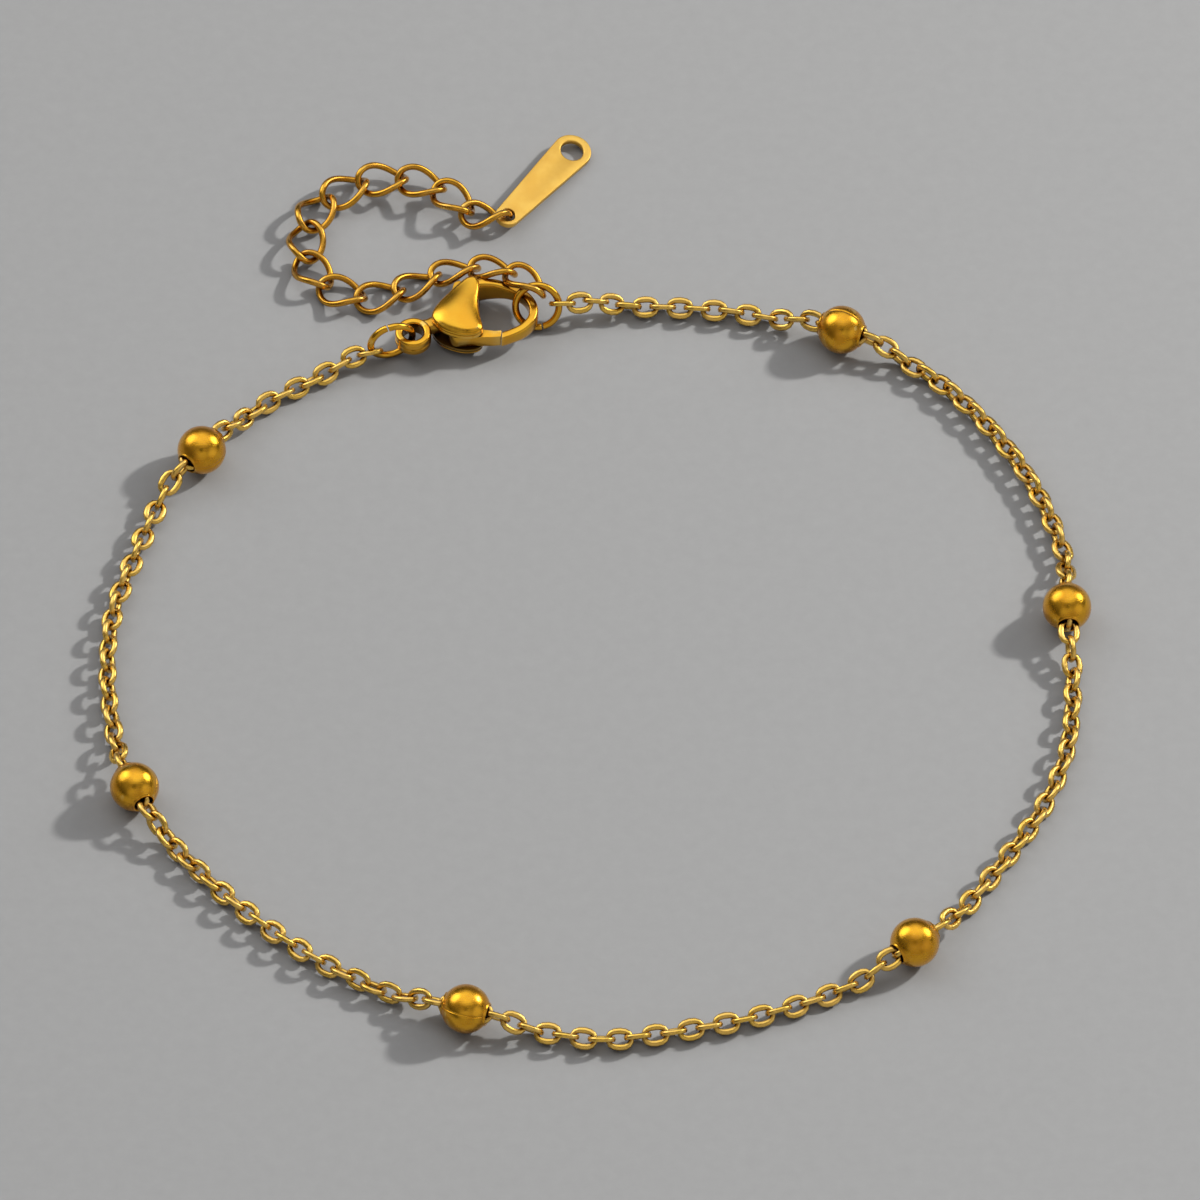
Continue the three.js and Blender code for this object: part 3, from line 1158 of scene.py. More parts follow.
@dataclass
class HollowBead:
    """A thin rolled bead with a hole at each end and a seam from hole to hole."""

    index: int
    seam: float
    radius: float = 2.0
    wall: float = 0.22
    hole: float = 0.8
    lip: float = 0.09
    seam_width: float = 0.05
    seam_depth: float = 0.05
    lip_start: float = 35.0
    steps: int = 72
    outside_steps: int = 40
    inside_steps: int = 16
    lip_steps: int = 6

    def profile(self) -> list[Flat]:
        """Draws the wall's profile.

        Returns:
            The outside, a rolled lip, the inside and the other lip, as radius and height.
        """
        opening = math.pi / 2 - math.asin((self.hole + 2 * self.lip) / self.radius)
        outside = arc_points((0, 0), self.radius, -opening, opening, self.outside_steps)
        inner = self.radius - self.wall
        mouth = math.pi / 2 - math.asin(self.hole / inner)
        inside = arc_points((0, 0), inner, mouth, -mouth, self.inside_steps)
        roll = (self.hole + self.lip, math.sqrt(self.radius**2 - (self.hole + self.lip) ** 2))
        lip = arc_points(roll, self.lip, math.radians(self.lip_start), math.pi, self.lip_steps)
        foot = [(x, -y) for x, y in reversed(lip)]
        return outside + lip + inside + foot

    def mark_shade_lining(self, shape: bmesh.types.BMesh) -> None:
        """Gives the faces inside the wall the second material, a near-black painted shade.

        Args:
            shape: The bead, with its middle at the origin.
        """
        for face in shape.faces:
            face.material_index = int(face.calc_center_median().length < self.radius - self.wall / 2)

    def cut_seam(self, shape: bmesh.types.BMesh) -> None:
        """Presses the seam's groove into the outer wall.

        Args:
            shape: The bead, with its axis along Z.
        """
        line = {vert for vert in shape.verts if abs(vert.co.y) < WELD and vert.co.x > 0}
        outer = {vert for vert in line if abs(vert.co.length - self.radius) < 10 * WELD}
        on_seam = [edge for edge in shape.edges if outer.issuperset(edge.verts)]
        bevel_edges(shape, on_seam, self.seam_width, 2)
        for vert in shape.verts:
            on_line = abs(vert.co.y) < WELD and vert.co.x > 0
            if on_line and vert.co.length > self.radius - self.seam_width:
                vert.co *= 1 - self.seam_depth / self.radius

    def build(self, material: bpy.types.Material, shade_lining: bpy.types.Material) -> bpy.types.Object:
        """Turns the wall and presses the seam.

        Args:
            material: The outside's finish.
            shade_lining: The near-black painted shade for the inside.

        Returns:
            The piece.
        """
        shape = bmesh.new()
        lathe(shape, self.profile(), self.steps)
        bmesh.ops.remove_doubles(shape, verts=shape.verts[:], dist=WELD)
        self.cut_seam(shape)
        self.mark_shade_lining(shape)
        turn = Matrix.Rotation(math.radians(self.seam), 4, "Z")
        bmesh.ops.transform(shape, matrix=turn, verts=shape.verts[:])
        direction = bead_direction(self.index)
        side = Z_AXIS.cross(direction)
        place = placed(side, direction.cross(side), direction, bead_middle(self.index))
        bmesh.ops.transform(shape, matrix=place, verts=shape.verts[:])
        name = f"bead_{self.index + 1}"
        piece = Piece(f"{name}_shell", [name], Slot.BEAD, material, crease=60.0, shade_lining=shade_lining)
        return piece.finish(shape)


@dataclass
class CableLink:
    """One oval link of flattened wire, lying in its own XY plane with its length along X."""

    length: float = 2.35
    width: float = 1.9
    end_wire: float = 0.46
    side_wire: float = 0.56
    thickness: float = 0.41
    squareness: float = 0.12
    stations: int = 14

    # A flat top and foot, and blunt sides.
    SECTION = ((1, 0), (0.62, 1), (-0.62, 1), (-1, 0), (-0.62, -1), (0.62, -1))

    def build(self, shape: bmesh.types.BMesh) -> list[bmesh.types.BMVert]:
        """Adds the link at the origin.

        Args:
            shape: The mesh that gets the link.

        Returns:
            The link's vertices.
        """
        before = set(shape.verts)
        places, sizes = [], []
        power = 1 - self.squareness
        for station in range(self.stations):
            angle = FULL_TURN * (station + 0.5) / self.stations
            x, y = math.cos(angle), math.sin(angle)
            wire = self.end_wire + (self.side_wire - self.end_wire) * y * y
            middle = Vector(
                (
                    (self.length - wire) / 2 * math.copysign(abs(x) ** power, x),
                    (self.width - wire) / 2 * math.copysign(abs(y) ** power, y),
                    0,
                )
            )
            along = Vector((-self.length * y, self.width * x, 0))
            places.append(standing_place(middle, along, middle))
            sizes.append((wire, self.thickness))
        sweep(shape, places, sizes, self.SECTION, closed=True)
        return [vert for vert in shape.verts if vert not in before]


@dataclass
class CableChain:
    """One stretch of cable chain, from a bead or a ring to the next."""

    index: int
    link: CableLink
    pitch: float = 1.43
    height: float = 0.80
    bead_edge: float = 2.15
    first_in_bead: float = 1.16
    lift_reach: float = 4.5
    wobble: float = 6.0
    table_gap: float = 0.05
    route_step: float = 0.05
    look_steps: int = 8
    seed: int = 100

    def _start(self) -> tuple[Vector, Vector, bool]:
        """Finds what the stretch starts from.

        Returns:
            Where it starts, which way it leaves, and whether that is a bead.
        """
        if self.index == 0:
            return CLASP_RING.link_middle(CLASP_RING_LINK_AT), CLASP_RING.outward(CLASP_RING_LINK_AT), False
        return bead_middle(self.index - 1), bead_direction(self.index - 1), True

    def _end(self) -> tuple[Vector, Vector, bool]:
        """Finds what the stretch runs to.

        Returns:
            Where it ends, which way it leaves from there, and whether that is a bead.
        """
        if self.index == len(CHAIN_ROUTES) - 1:
            return END_RING.link_middle(END_RING_LINK_AT), END_RING.outward(END_RING_LINK_AT), False
        return bead_middle(self.index), -bead_direction(self.index), True

    def _lift(self, point: Vector, end: Vector, from_bead: bool) -> float:
        """Works out how far an end of the stretch lifts it.

        Args:
            point: The place on the stretch.
            end: The middle of the bead, or of the link on a ring, at that end.
            from_bead: Whether that end is a bead.

        Returns:
            How far the chain is lifted above where it would lie.
        """
        edge = self.bead_edge if from_bead else self.pitch
        share = min(1.0, max(0.0, ((point - end).to_2d().length - edge) / self.lift_reach))
        return (end.z - self.height) * (1 - share) ** 2 * (1 + 2 * share)

    def route(self) -> list[Vector]:
        """Draws the line along the middle of the stretch.

        Returns:
            The line's points.
        """
        start, leaving, from_bead = self._start()
        end, arriving, to_bead = self._end()
        first = start + leaving * (self.bead_edge if from_bead else self.pitch)
        last = end + arriving * (self.bead_edge if to_bead else self.pitch)
        corners = [start, first, *[Vector((x, y, 0)) for x, y in CHAIN_ROUTES[self.index]], last, end]
        plan = smooth_route([Vector((corner.x, corner.y, 0)) for corner in corners], self.route_step)
        for point in plan:
            point.z = self.height + self._lift(point, start, from_bead) + self._lift(point, end, to_bead)
        return plan

    def places(self) -> list[Matrix]:
        """Lays the links, each rolled a quarter turn from the last.

        Returns:
            Where each link lies.
        """
        route = self.route()
        lengths = running_lengths(route)
        low = self.first_in_bead if self._start()[2] else 0.0
        high = lengths[-1] - (self.first_in_bead if self._end()[2] else 0.0)
        count = round((high - low) / self.pitch)
        draw = random.Random(self.seed + self.index)
        rolls = STRETCH_ROLLS[self.index]
        stages = np.linspace(0, 1, len(rolls))
        found = []
        for number in range(count + 1):
            share = number / count
            station = low + (high - low) * share
            last_step = len(route) - 1 - self.look_steps
            step = int(np.clip(np.searchsorted(lengths, station), self.look_steps, last_step))
            middle = at_stations(route, lengths, [station])[0]
            along = (route[step + self.look_steps] - route[step - self.look_steps]).normalized()
            side = Z_AXIS.cross(along).normalized()
            roll = float(np.interp(share, stages, rolls)) + 90 * (number % 2)
            roll += draw.uniform(-self.wobble, self.wobble)
            sway = Euler((0, 0, math.radians(draw.uniform(-self.wobble, self.wobble))))
            turn = Matrix.Rotation(math.radians(roll), 4, "X") @ sway.to_matrix().to_4x4()
            found.append(placed(along, side, along.cross(side), middle) @ turn)
        return found

    def _settled(self, place: Matrix) -> Matrix:
        """Brings a link up where it would dip into the table.

        Args:
            place: Where the link lies on the chain's line.

        Returns:
            Where it comes to rest.
        """
        across = place.to_3x3() @ Y_AXIS
        along = place.to_3x3() @ X_AXIS
        normal = place.to_3x3() @ Z_AXIS
        half_width, half_length = self.link.width / 2, self.link.length / 2
        depth = math.hypot(across.z * half_width, along.z * half_length)
        depth += abs(normal.z) * self.link.thickness / 2
        settled = place.copy()
        settled.translation.z = max(settled.translation.z, depth + self.table_gap)
        return settled

    def build(self, material: bpy.types.Material) -> bpy.types.Object:
        """Copies the link along the stretch.

        Args:
            material: The chain's finish.

        Returns:
            The piece.
        """
        shape = bmesh.new()
        pattern = self.link.build(shape)
        geometry = everything(shape)
        for place in self.places():
            copied = bmesh.ops.duplicate(shape, geom=geometry)
            verts = only(bmesh.types.BMVert, copied["geom"])
            bmesh.ops.transform(shape, matrix=self._settled(place), verts=verts)
        bmesh.ops.delete(shape, geom=pattern, context="VERTS")
        name = f"chain_{self.index + 1}"
        return Piece(f"{name}_links", [name], Slot.CHAIN, material, crease=75.0).finish(shape)


# ---- extender ------------------------------------------------------------------------


@dataclass
class CurbLink:
    """One twisted link of the extender, made where its plain solid lies."""

    number: int
    twist: float = 40.0
    length: float = 4.59
    width: float = 3.39
    wire: float = 0.55
    stations: int = 52
    sides: int = 14

    # The small angle over which the wire's direction is read.
    NUDGE = 1e-3

    def _pose(self) -> Matrix:
        """Finds how the link lies from its solid, which is longest along X and thinnest along Z.

        Returns:
            The link's place.
        """
        solid = frame["nodes"][self.node]
        points = np.array([vert.co for vert in solid.data.vertices]) / METRES
        middle = points.mean(axis=0)
        _, axes = np.linalg.eigh(np.cov((points - middle).T))
        x, y = Vector(axes[:, 2]), Vector(axes[:, 1])
        return placed(x, y, x.cross(y), Vector(middle))

    @property
    def node(self) -> str:
        """Returns the name of the link's plain solid."""
        return f"extender_{self.number:02d}"

    def _middle_at(self, angle: float) -> Vector:
        """Follows the middle of the wire.

        Args:
            angle: The angle round the link, in radians.

        Returns:
            The wire's middle there.
        """
        turn = -math.radians(self.twist) * math.cos(angle)
        side = (self.width - self.wire) / 2 * math.sin(angle)
        return Vector(
            ((self.length - self.wire) / 2 * math.cos(angle), side * math.cos(turn), side * math.sin(turn))
        )

    def build(self, material: bpy.types.Material) -> bpy.types.Object:
        """Sweeps the wire round the twisted loop.

        Args:
            material: The extender's finish.

        Returns:
            The piece.
        """
        shape = bmesh.new()
        places = []
        for station in range(self.stations):
            angle = FULL_TURN * station / self.stations
            middle = self._middle_at(angle)
            along = self._middle_at(angle + self.NUDGE) - self._middle_at(angle - self.NUDGE)
            places.append(standing_place(middle, along, middle))
        sizes = [(self.wire, self.wire)] * self.stations
        sweep(shape, places, sizes, round_section(self.sides), closed=True)
        bmesh.ops.transform(shape, matrix=self._pose(), verts=shape.verts[:])
        return Piece(f"{self.node}_wire", [self.node], Slot.CHAIN, material).finish(shape)


@dataclass
class Extender:
    """The row of curb links, numbered from the tag; the first is twisted more to lie in its hole."""

    count: int = 14
    tag_twist: float = 58.0
    tag_width: float = 3.3

    def build(self, material: bpy.types.Material) -> None:
        """Builds every link.

        Args:
            material: The extender's finish.
        """
        CurbLink(1, twist=self.tag_twist, width=self.tag_width).build(material)
        for number in range(2, self.count + 1):
            CurbLink(number).build(material)


# ---- tag -----------------------------------------------------------------------------


@dataclass
class TaperedTag:
    """The flat tag, wide at its free end, with a hole at each end."""

    at: tuple[float, float, float] = (-7.19, 38.15, 1.1)
    heading: float = 53.6
    slope: float = 3.4
    roll: float = 10.0
    span: float = 9.0
    small_end: float = 1.03
    big_end: float = 1.62
    small_hole: float = 0.6
    big_hole: float = 0.95
    thickness: float = 0.5
    roundings: tuple[float, float, float] = (0.09, 0.12, 0.17)
    small_steps: int = 24
    big_steps: int = 40
    small_hole_steps: int = 32
    big_hole_steps: int = 48

    def outline(self) -> list[Flat]:
        """Draws the tag's outline.

        Returns:
            An arc round each end, with straight sides between them.
        """
        tangent = math.pi / 2 + math.asin((self.big_end - self.small_end) / self.span)
        small = arc_points((0, 0), self.small_end, tangent, FULL_TURN - tangent, self.small_steps)
        big = arc_points((self.span, 0), self.big_end, -tangent, tangent, self.big_steps)
        return small + big

    def build(self, material: bpy.types.Material) -> bpy.types.Object:
        """Makes the plate with its two holes.

        Args:
            material: The tag's finish.

        Returns:
            The piece.
        """
        shape = bmesh.new()
        small_hole = hole_points((0, 0), self.small_hole, self.small_hole_steps)
        big_hole = hole_points((self.span, 0), self.big_hole, self.big_hole_steps)
        flat_plate(shape, [self.outline(), small_hole, big_hole], self.thickness, self.roundings)
        lie = Matrix.Rotation(math.radians(self.heading), 4, "Z")
        lie = lie @ Matrix.Rotation(math.radians(self.slope), 4, "Y")
        lie = lie @ Matrix.Rotation(math.radians(self.roll), 4, "X")
        place = Matrix.Translation(self.at) @ lie
        bmesh.ops.transform(shape, matrix=place, verts=shape.verts[:])
        return Piece("tag_plate", ["tag"], Slot.TAG, material).finish(shape)


# ---- clasp ---------------------------------------------------------------------------


@dataclass
class LobsterClasp:
    """The clasp, lying along its own X with the middle of its eye at its origin."""

    heading: float = 14.0
    middle_height: float = 1.8
    pin: Flat = (3.6, -0.75)
    pin_radius: float = 0.3
    pin_bite: float = 0.05
    pin_steps: int = 28
    collar: float = 0.12
    collar_from: float = 0.62
    collar_full: float = 0.68
    slot_half: float = 0.75
    slot_end: float = 5.5
    slot_margin: float = 0.01
    shell_top: float = 1.8
    outline_steps: int = 12
    shell_facet: float = 0.14
    crown_facet: float = 0.12
    crown_fullness: Flat = (0.5, 1.3)
    web_bite: float = 0.05
    neck_web: tuple[float, float, float] = (1.0, 2.1, 0.25)
    root_web: tuple[float, float, float] = (5.75, 7.0, 0.04)
    eye_outside: float = 1.5
    eye_hole: float = 0.85
    eye_half: float = 0.72
    eye_corner: float = 0.24
    eye_groove: float = 0.10
    eye_groove_floor: float = 0.02
    eye_steps: int = 64
    neck_along: Flat = (1.0, 0.15)
    neck_sides: int = 16
    neck_squareness: float = 0.45
    hook_step: float = 0.22
    hook_sides: int = 20
    hook_squareness: float = 0.5
    tip_reach: float = 3.70
    tip_toward: Flat = (7.2, -2.05)
    tip_side: float = -0.5
    lever_half: float = 0.6
    lever_bore: float = 0.46
    lever_bore_steps: int = 24
    lever_roundings: Flat = (0.08, 0.04)
    knuckle: float = 0.78
    knuckle_from: float = 150.0
    knuckle_to: float = 262.0
    gate_reach: float = 3.62
    gate_low: float = -1.45
    gate_high: float = -0.826

    # How far each layer of a shell's rim is set in from its outline, and its height: a band, a
    # fine groove, and the round up to the crowned face.
    RIM = (
        (0.0, 1.02),
        (0.03, 1.06),
        (0.08, 1.07),
        (0.08, 1.12),
        (0.03, 1.13),
        (0.0, 1.16),
        (0.01, 1.23),
        (0.04, 1.30),
        (0.08, 1.36),
        (0.13, 1.40),
        (0.19, 1.44),
        (0.26, 1.47),
    )

    # The neck from the eye to the shells: X and Y of each section, its width and its height.
    NECK = (
        (1.15, 0.62, 1.3, 1.2),
        (1.5, 0.66, 1.15, 1.2),
        (1.9, 0.72, 1.25, 1.3),
        (2.3, 0.8, 1.5, 1.4),
    )

    # The hook from its root to its tip: X and Y of each section, its width and its height.
    HOOK = (
        (5.5, 3.3, 1.0, 2.5),
        (6.2, 3.42, 0.95, 2.3),
        (6.9, 3.4, 0.88, 2.0),
        (8.0, 3.1, 0.82, 1.5),
        (9.1, 2.45, 0.80, 1.25),
        (9.95, 1.6, 0.80, 1.3),
        (10.3, 0.4, 0.80, 1.4),
        (9.95, -0.8, 0.80, 1.4),
        (9.0, -1.6, 0.80, 1.3),
        (7.8, -1.95, 0.80, 1.2),
        (6.6, -2.1, 0.80, 1.2),
    )

    # The shells' outline: the point that each curve bends towards and the point where it ends.
    OUTLINE = (
        ((1.8, -0.6), (3.1, -1.4)),
        ((4.0, -2.05), (4.9, -1.95)),
        ((5.75, -1.8), (5.65, -0.8)),
        ((5.65, 1.0), (6.2, 2.3)),
        ((6.9, 4.3), (5.5, 4.0)),
        ((4.75, 3.66), (3.6, 2.72)),
        ((1.9, 1.55), (1.75, 0.7)),
    )

    # The lever's outline: the gate's outer side, then from the gate's root up the arm to the tab,
    # the point that the tab's end bends towards and where it ends, and the arm's other side.
    GATE = ((4.6, -1.72), (6.2, -2.1))
    ARM = ((6.6, -1.5), (5.6, -1.1), (4.5, 0.2), (4.85, 2.6), (5.2, 4.0))
    TAB = ((5.1, 4.5), (4.5, 4.2))
    HEEL = (3.7, 2.6)

    def place(self) -> Matrix:
        """Works out where the clasp lies from its lever's hinge in the frame.

        Returns:
            The clasp's place.
        """
        hinge = Vector(frame["joints"][0]["pos_m"]) / METRES
        turn = Matrix.Rotation(math.radians(self.heading), 4, "Z")
        origin = hinge - turn @ Vector((*self.pin, 0))
        origin.z = self.middle_height
        return Matrix.Translation(origin) @ turn

    def _to_place(self, shape: bmesh.types.BMesh) -> None:
        """Moves a mesh made in the clasp's own directions to where the clasp lies."""
        bmesh.ops.transform(shape, matrix=self.place(), verts=shape.verts[:])

    def shell_outline(self) -> list[Vector]:
        """Draws the shells' outline.

        Returns:
            Its points, running anticlockwise.
        """
        points: list[Flat] = []
        start = self.OUTLINE[-1][1]
        for control, end in self.OUTLINE:
            points += bezier_points(start, control, end, self.outline_steps)
            start = end
        return spaced_evenly([Vector((x, y, 0)) for x, y in points], self.shell_facet)

    def _shell(self, shape: bmesh.types.BMesh, side: Side) -> None:
        """Adds one shell: a rim band, a groove above it and a crowned face.

        Args:
            shape: The mesh that gets the shell.
            side: Which shell it is.
        """
        sign = side.value
        stack = OutlineStack(shape, self.shell_outline(), sign * self.slot_half)
        stack.climb([(inset, sign * height) for inset, height in self.RIM])
        rise = sign * (self.shell_top - self.RIM[-1][1])
        crown(shape, stack.cap(), rise, self.crown_facet, *self.crown_fullness)

    def _web(self, shape: bmesh.types.BMesh, low: float, high: float, inset: float) -> None:
        """Fills part of the space between the shells.

        Args:
            shape: The mesh that gets the web.
            low: The X where the web starts.
            high: The X where it ends.
            inset: How far it is set in from the shells' outline.
        """
        web = bmesh.new()
        half = self.slot_half + self.web_bite
        stack = OutlineStack(web, self.shell_outline(), -half, inset)
        stack.climb([(inset, half)])
        stack.cap()
        for x, normal in ((low, -X_AXIS), (high, X_AXIS)):
            cut = bmesh.ops.bisect_plane(
                web,
                geom=everything(web),
                dist=SAME_PLANE,
                plane_co=(x, 0, 0),
                plane_no=normal,
                clear_outer=True,
            )
            rim = only(bmesh.types.BMEdge, cut["geom_cut"])
            if rim:
                bmesh.ops.edgenet_fill(web, edges=rim)
        mesh = bpy.data.meshes.new("web")
        web.to_mesh(mesh)
        web.free()
        shape.from_mesh(mesh)
        bpy.data.meshes.remove(mesh)

    def _mark_shade_lining(self, shape: bmesh.types.BMesh) -> None:
        """Gives the faces inside the slot the second material, a near-black painted shade.

        Args:
            shape: The shells, in the clasp's own directions.
        """
        for face in shape.faces:
            middle = face.calc_center_median()
            inside = abs(middle.z) < self.slot_half + self.slot_margin
            face.material_index = int(inside and middle.x < self.slot_end)

    def build_shells(self, material: bpy.types.Material, shade_lining: bpy.types.Material) -> bpy.types.Object:
        """Builds both shells with the webs that join them.

        Args:
            material: The outside's finish.
            shade_lining: The near-black painted shade for the slot.

        Returns:
            The piece.
        """
        shape = bmesh.new()
        for side in Side:
            self._shell(shape, side)
        self._web(shape, *self.neck_web)
        self._web(shape, *self.root_web)
        self._mark_shade_lining(shape)
        self._to_place(shape)
        piece = Piece("clasp_shells", ["clasp_body"], Slot.CLASP, material, crease=50.0, shade_lining=shade_lining)
        return piece.finish(shape)

    def build_eye(self, material: bpy.types.Material) -> bpy.types.Object:
        """Turns the eye, two rounded layers with a groove between, and adds its neck.

        Args:
            material: The clasp's finish.

        Returns:
            The piece.
        """
        shape = bmesh.new()
        corner, groove = self.eye_corner, self.eye_groove
        top = self.eye_half - corner
        upper = [
            (self.eye_outside - groove, self.eye_groove_floor),
            (self.eye_outside, groove),
            *arc_points((self.eye_outside - corner, top), corner, 0, math.pi / 2, 6),
            *arc_points((self.eye_hole + corner, top), corner, math.pi / 2, math.pi, 6),
        ]
        lower = [(radius, -height) for radius, height in reversed(upper)]
        lathe(shape, upper + lower, self.eye_steps)
        along = Vector((*self.neck_along, 0))
        places = [standing_place(Vector((x, y, 0)), along, Y_AXIS) for x, y, _, _ in self.NECK]
        sizes = [(width, height) for _, _, width, height in self.NECK]
        section = round_section(self.neck_sides, self.neck_squareness)
        sweep(shape, places, sizes, section, closed=False)
        self._to_place(shape)
        return Piece("clasp_eye", ["clasp_body"], Slot.CLASP, material).finish(shape)

    def hook_sections(self) -> list[tuple[Vector, float, float]]:
        """Draws the hook.

        Returns:
            The points of its route, with its width and its height at each.
        """
        route = smooth_route([Vector((x, y, 0)) for x, y, _, _ in self.HOOK], self.hook_step)
        rows = range(len(self.HOOK))
        shares = np.linspace(0, len(self.HOOK) - 1, len(route))
        widths = np.interp(shares, rows, [width for _, _, width, _ in self.HOOK])
        heights = np.interp(shares, rows, [height for _, _, _, height in self.HOOK])
        return list(zip(route, widths, heights))

    def build_hook(self, material: bpy.types.Material) -> bpy.types.Object:
        """Sweeps the hook and cuts its tip to clear the gate.

        Args:
            material: The clasp's finish.

        Returns:
            The piece.
        """
        shape = bmesh.new()
        sections = self.hook_sections()
        middles = [section[0] for section in sections]
        places = []
        for i, middle in enumerate(middles):
            along = middles[min(i + 1, len(middles) - 1)] - middles[max(i - 1, 0)]
            places.append(standing_place(middle, along, along.cross(Z_AXIS)))
        sizes = [(width, height) for _, width, height in sections]
        section = round_section(self.hook_sides, self.hook_squareness)
        sweep(shape, places, sizes, section, closed=False)
        pin = Vector((*self.pin, 0))
        toward = (Vector((*self.tip_toward, 0)) - pin).normalized()
        near = [vert for vert in shape.verts if vert.co.y < self.tip_side]
        chosen = set(near)
        edges = [edge for edge in shape.edges if chosen.issuperset(edge.verts)]
        faces = [face for face in shape.faces if chosen.issuperset(face.verts)]
        cut = bmesh.ops.bisect_plane(
            shape,
            geom=near + edges + faces,
            dist=SAME_PLANE,
            plane_co=pin + toward * self.tip_reach,
            plane_no=toward,
            clear_inner=True,
        )
        rim = only(bmesh.types.BMEdge, cut["geom_cut"])
        bmesh.ops.contextual_create(shape, geom=rim)
        bmesh.ops.recalc_face_normals(shape, faces=shape.faces[:])
        self._to_place(shape)
        return Piece("clasp_hook", ["clasp_body"], Slot.CLASP, material).finish(shape)

    def build_pin(self, material: bpy.types.Material) -> bpy.types.Object:
        """Turns the pin that the lever hinges on, with a collar at each shell.

        Args:
            material: The clasp's finish.

        Returns:
            The piece.
        """
        shape = bmesh.new()
        end = self.slot_half + self.pin_bite
        wide = self.pin_radius + self.collar
        upper = [(self.pin_radius, self.collar_from), (wide, self.collar_full), (wide, end)]
        lower = [(radius, -height) for radius, height in reversed(upper)]
        profile = [Vector((x, 0, z)) for x, z in [(0.0, -end), *lower, *upper, (0.0, end)]]
        verts = [shape.verts.new(point) for point in profile]
        edges = [shape.edges.new(pair) for pair in zip(verts, verts[1:])]
        bmesh.ops.spin(
            shape,
            geom=verts + edges,
            cent=(0, 0, 0),
            axis=Z_AXIS,
            angle=FULL_TURN,
            steps=self.pin_steps,
            use_merge=True,
        )
        bmesh.ops.translate(shape, verts=shape.verts[:], vec=(*self.pin, 0))
        self._to_place(shape)
        return Piece("clasp_pin", ["clasp_body"], Slot.CLASP, material).finish(shape)

    def lever_outline(self) -> list[Flat]:
        """Draws the lever's outline.

        Returns:
            The knuckle, the gate, its round tip, the arm and the thumb tab.
        """
        low = math.asin(self.gate_low / self.gate_reach)
        high = math.asin(self.gate_high / self.gate_reach)
        tip = arc_points(self.pin, self.gate_reach, low, high, 5)
        tab = bezier_points(self.ARM[-1], *self.TAB, 6)
        start, end = math.radians(self.knuckle_from), math.radians(self.knuckle_to)
        knuckle = arc_points(self.pin, self.knuckle, start, end, 10)
        return [*knuckle, *self.GATE, *tip, *self.ARM, *tab, self.HEEL]

    def build_lever(self, material: bpy.types.Material) -> bpy.types.Object:
        """Cuts the lever from plate, with its bore.

        Args:
            material: The clasp's finish.

        Returns:
            The piece.
        """
        shape = bmesh.new()
        bore = hole_points(self.pin, self.lever_bore, self.lever_bore_steps)
        flat_plate(shape, [self.lever_outline(), bore], 2 * self.lever_half, self.lever_roundings)
        self._to_place(shape)
        piece = Piece("clasp_lever_arm", ["clasp_lever"], Slot.CLASP, material, body=LEVER_BODY)
        return piece.finish(shape)

    def build(self, material: bpy.types.Material, shade_lining: bpy.types.Material) -> None:
        """Builds every piece of the clasp.

        Args:
            material: Its finish.
            shade_lining: The near-black painted shade inside its slot.
        """
        self.build_shells(material, shade_lining)
        self.build_eye(material)
        self.build_hook(material)
        self.build_pin(material)
        self.build_lever(material)


# ---- studio --------------------------------------------------------------------------


@dataclass(frozen=True)
class RoomPanel:
    """A round soft-edged panel of the room, full bright to its inner angle and gone at its outer."""

    toward: tuple[float, float, float]
    inner: float
    outer: float
    brightness: float


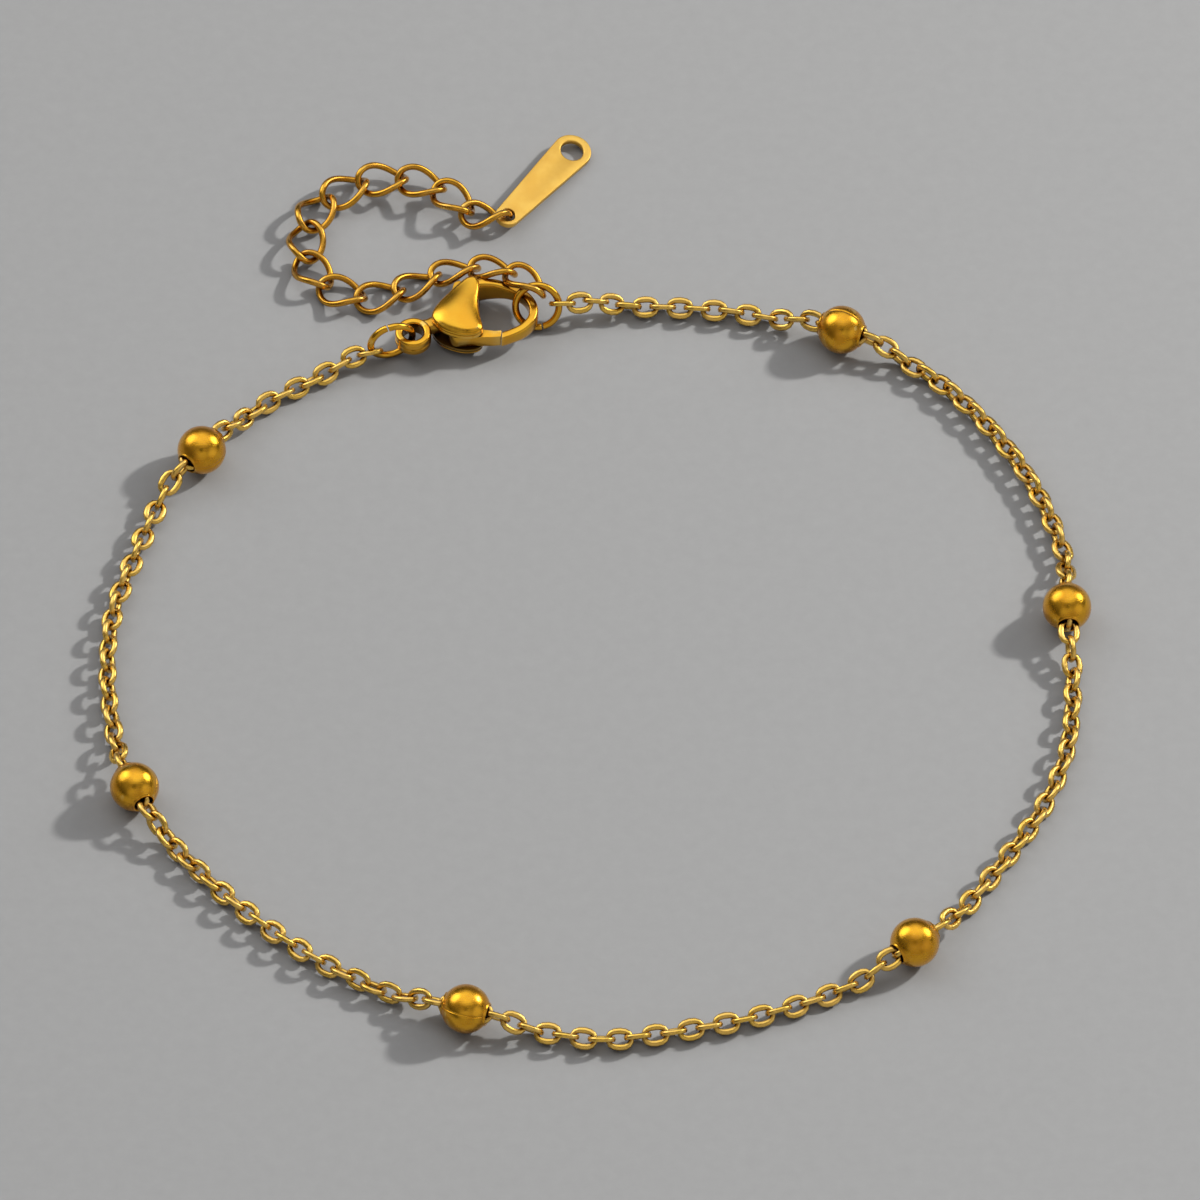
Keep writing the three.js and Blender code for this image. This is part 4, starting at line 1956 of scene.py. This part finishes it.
@dataclass
class Studio:
    """The table, the lights and the camera. Places are in metres."""

    target: tuple[float, float, float] = (0.0005, -0.001, 0.0)
    distance: float = 1.5
    elevation: float = 53.0
    view_width: float = 0.09836
    sensor: float = 36.0
    panels: tuple[RoomPanel, ...] = (
        RoomPanel((0.05, 0.36, 0.93), 14, 48, 0.92),
        RoomPanel((-0.67, 0.45, 0.59), 11, 27, 2.20),
        RoomPanel((0.77, 0.42, 0.48), 6, 19, 4.80),
        RoomPanel((0.84, -0.48, 0.24), 8, 34, 0.55),
        RoomPanel((0.00, -0.93, 0.37), 12, 42, 0.34),
    )
    dome: RoomPanel = RoomPanel((0.0, 0.0, 1.0), 20, 85, 0.20)
    dark_spot: RoomPanel = RoomPanel((0.0, -0.60, 0.80), 4, 12, 0.90)
    dimmest: float = 0.07
    dim_tint: Colour = (1.0, 0.93, 0.84)
    bright_tint: Colour = (0.99, 1.0, 1.03)
    lamp_at: tuple[float, float, float] = (0.76, 0.37, 0.53)
    lamp_size: float = 0.06
    lamp_watts: float = 12.5
    lamp_colour: Colour = (1.0, 0.99, 0.97)
    table_half: float = 1.5
    table_dark: Colour = (0.236, 0.236, 0.234)
    table_light: Colour = (0.268, 0.268, 0.266)

    def camera(self) -> None:
        """Stands the camera over the near side, looking down at the anklet."""
        data = bpy.data.cameras.new("camera")
        data.sensor_width = self.sensor
        data.lens = self.sensor * self.distance / self.view_width
        data.clip_start, data.clip_end = 0.01, 10.0
        camera = bpy.data.objects.new("camera", data)
        rise = math.radians(self.elevation)
        back = Vector((0, -math.cos(rise), math.sin(rise)))
        camera.location = Vector(self.target) + back * self.distance
        camera.rotation_euler = (math.pi / 2 - rise, 0, 0)
        bpy.context.scene.collection.objects.link(camera)
        bpy.context.scene.camera = camera

    def table(self) -> None:
        """Lays a plain pale table under the anklet."""
        shape = bmesh.new()
        bmesh.ops.create_grid(shape, x_segments=8, y_segments=8, size=self.table_half)
        mesh = bpy.data.meshes.new("table_top")
        shape.to_mesh(mesh)
        shape.free()
        material = bpy.data.materials.new("table_paint")
        material.use_nodes = True
        tree = material.node_tree
        shader = tree.nodes["Principled BSDF"]
        coordinates = tree.nodes.new("ShaderNodeTexCoord")
        grain = noise_node(tree, coordinates.outputs["Object"], 900.0, detail=3.0, roughness=0.6)
        paint = colour_node(tree, grain, self.table_dark, self.table_light)
        tree.links.new(paint, shader.inputs["Base Color"])
        shader.inputs["Roughness"].default_value = 0.7
        mesh.materials.append(material)
        table = bpy.data.objects.new("table_top", mesh)
        bpy.context.scene.collection.objects.link(table)

    def lamp(self) -> None:
        """Hangs a low square lamp at the right; polished metal mirrors the room instead of it."""
        data = bpy.data.lights.new("low_key", "AREA")
        data.size = self.lamp_size
        data.energy = self.lamp_watts
        data.color = self.lamp_colour
        lamp = bpy.data.objects.new("low_key", data)
        lamp.location = Vector(self.lamp_at)
        lamp.rotation_euler = (-Vector(self.lamp_at)).to_track_quat("-Z", "Y").to_euler()
        lamp.visible_glossy = False
        bpy.context.scene.collection.objects.link(lamp)

    def room(self) -> None:
        """Paints the room: dim at the horizon, with soft bright panels and a dark spot."""
        world = bpy.data.worlds.new("room")
        world.use_nodes = True
        tree = world.node_tree
        facing = tree.nodes.new("ShaderNodeTexCoord").outputs["Generated"]
        brightness = self._panel(tree, facing, self.dome)
        brightness = value_node(tree, "ADD", brightness, self.dimmest)
        for panel in self.panels:
            brightness = value_node(tree, "ADD", brightness, self._panel(tree, facing, panel))
        shadow = self._panel(tree, facing, self.dark_spot)
        left = value_node(tree, "SUBTRACT", 1.0, shadow)
        brightness = value_node(tree, "MULTIPLY", brightness, left)
        tint = colour_node(tree, brightness, self.dim_tint, self.bright_tint)
        sky = tree.nodes["Background"]
        tree.links.new(tint, sky.inputs["Color"])
        tree.links.new(brightness, sky.inputs["Strength"])
        bpy.context.scene.world = world

    @staticmethod
    def _panel(tree: bpy.types.NodeTree, facing: Socket, panel: RoomPanel) -> Socket:
        """Adds one soft-edged panel of the room and returns its brightness.

        Args:
            tree: The world's node tree.
            facing: The direction that is looked in.
            panel: The panel.

        Returns:
            The panel's brightness in that direction.
        """
        toward = tree.nodes.new("ShaderNodeVectorMath")
        toward.operation = "DOT_PRODUCT"
        toward.inputs[1].default_value = Vector(panel.toward).normalized()
        tree.links.new(facing, toward.inputs[0])
        edge, middle = math.cos(math.radians(panel.outer)), math.cos(math.radians(panel.inner))
        share = range_node(tree, toward.outputs["Value"], edge, middle)
        return value_node(tree, "MULTIPLY", share, panel.brightness)

    def build(self) -> None:
        """Sets up the camera, the table, the lights and a plain view of colours."""
        self.camera()
        self.table()
        self.lamp()
        self.room()
        bpy.context.scene.view_settings.view_transform = "Standard"


# ---- the anklet ----------------------------------------------------------------------


def main() -> None:
    """Builds the studio, then every piece of the anklet."""
    logging.basicConfig(level=logging.INFO, format="%(message)s")
    Studio().build()
    groups = FinishGroups()
    bead_gold = BEAD_FINISH.material(groups)
    clasp_gold = CLASP_FINISH.material(groups)
    # A near-black material that paints shade inside the bead holes and the clasp's slot.
    shade_lining = SHADE_LINING_FINISH.material(groups)
    chain_gold = CHAIN_FINISH.material(groups)
    extender_gold = EXTENDER_FINISH.material(groups)
    tag_gold = TAG_FINISH.material(groups)

    link = CableLink()
    for index in range(len(CHAIN_ROUTES)):
        CableChain(index, link).build(chain_gold)
    for index, seam in enumerate(BEAD_SEAMS):
        HollowBead(index, seam).build(bead_gold, shade_lining)
    CLASP_RING.build(clasp_gold)
    END_RING.build(clasp_gold)
    Extender().build(extender_gold)
    TaperedTag().build(tag_gold)
    LobsterClasp().build(clasp_gold, shade_lining)


if __name__ == "__main__":
    main()
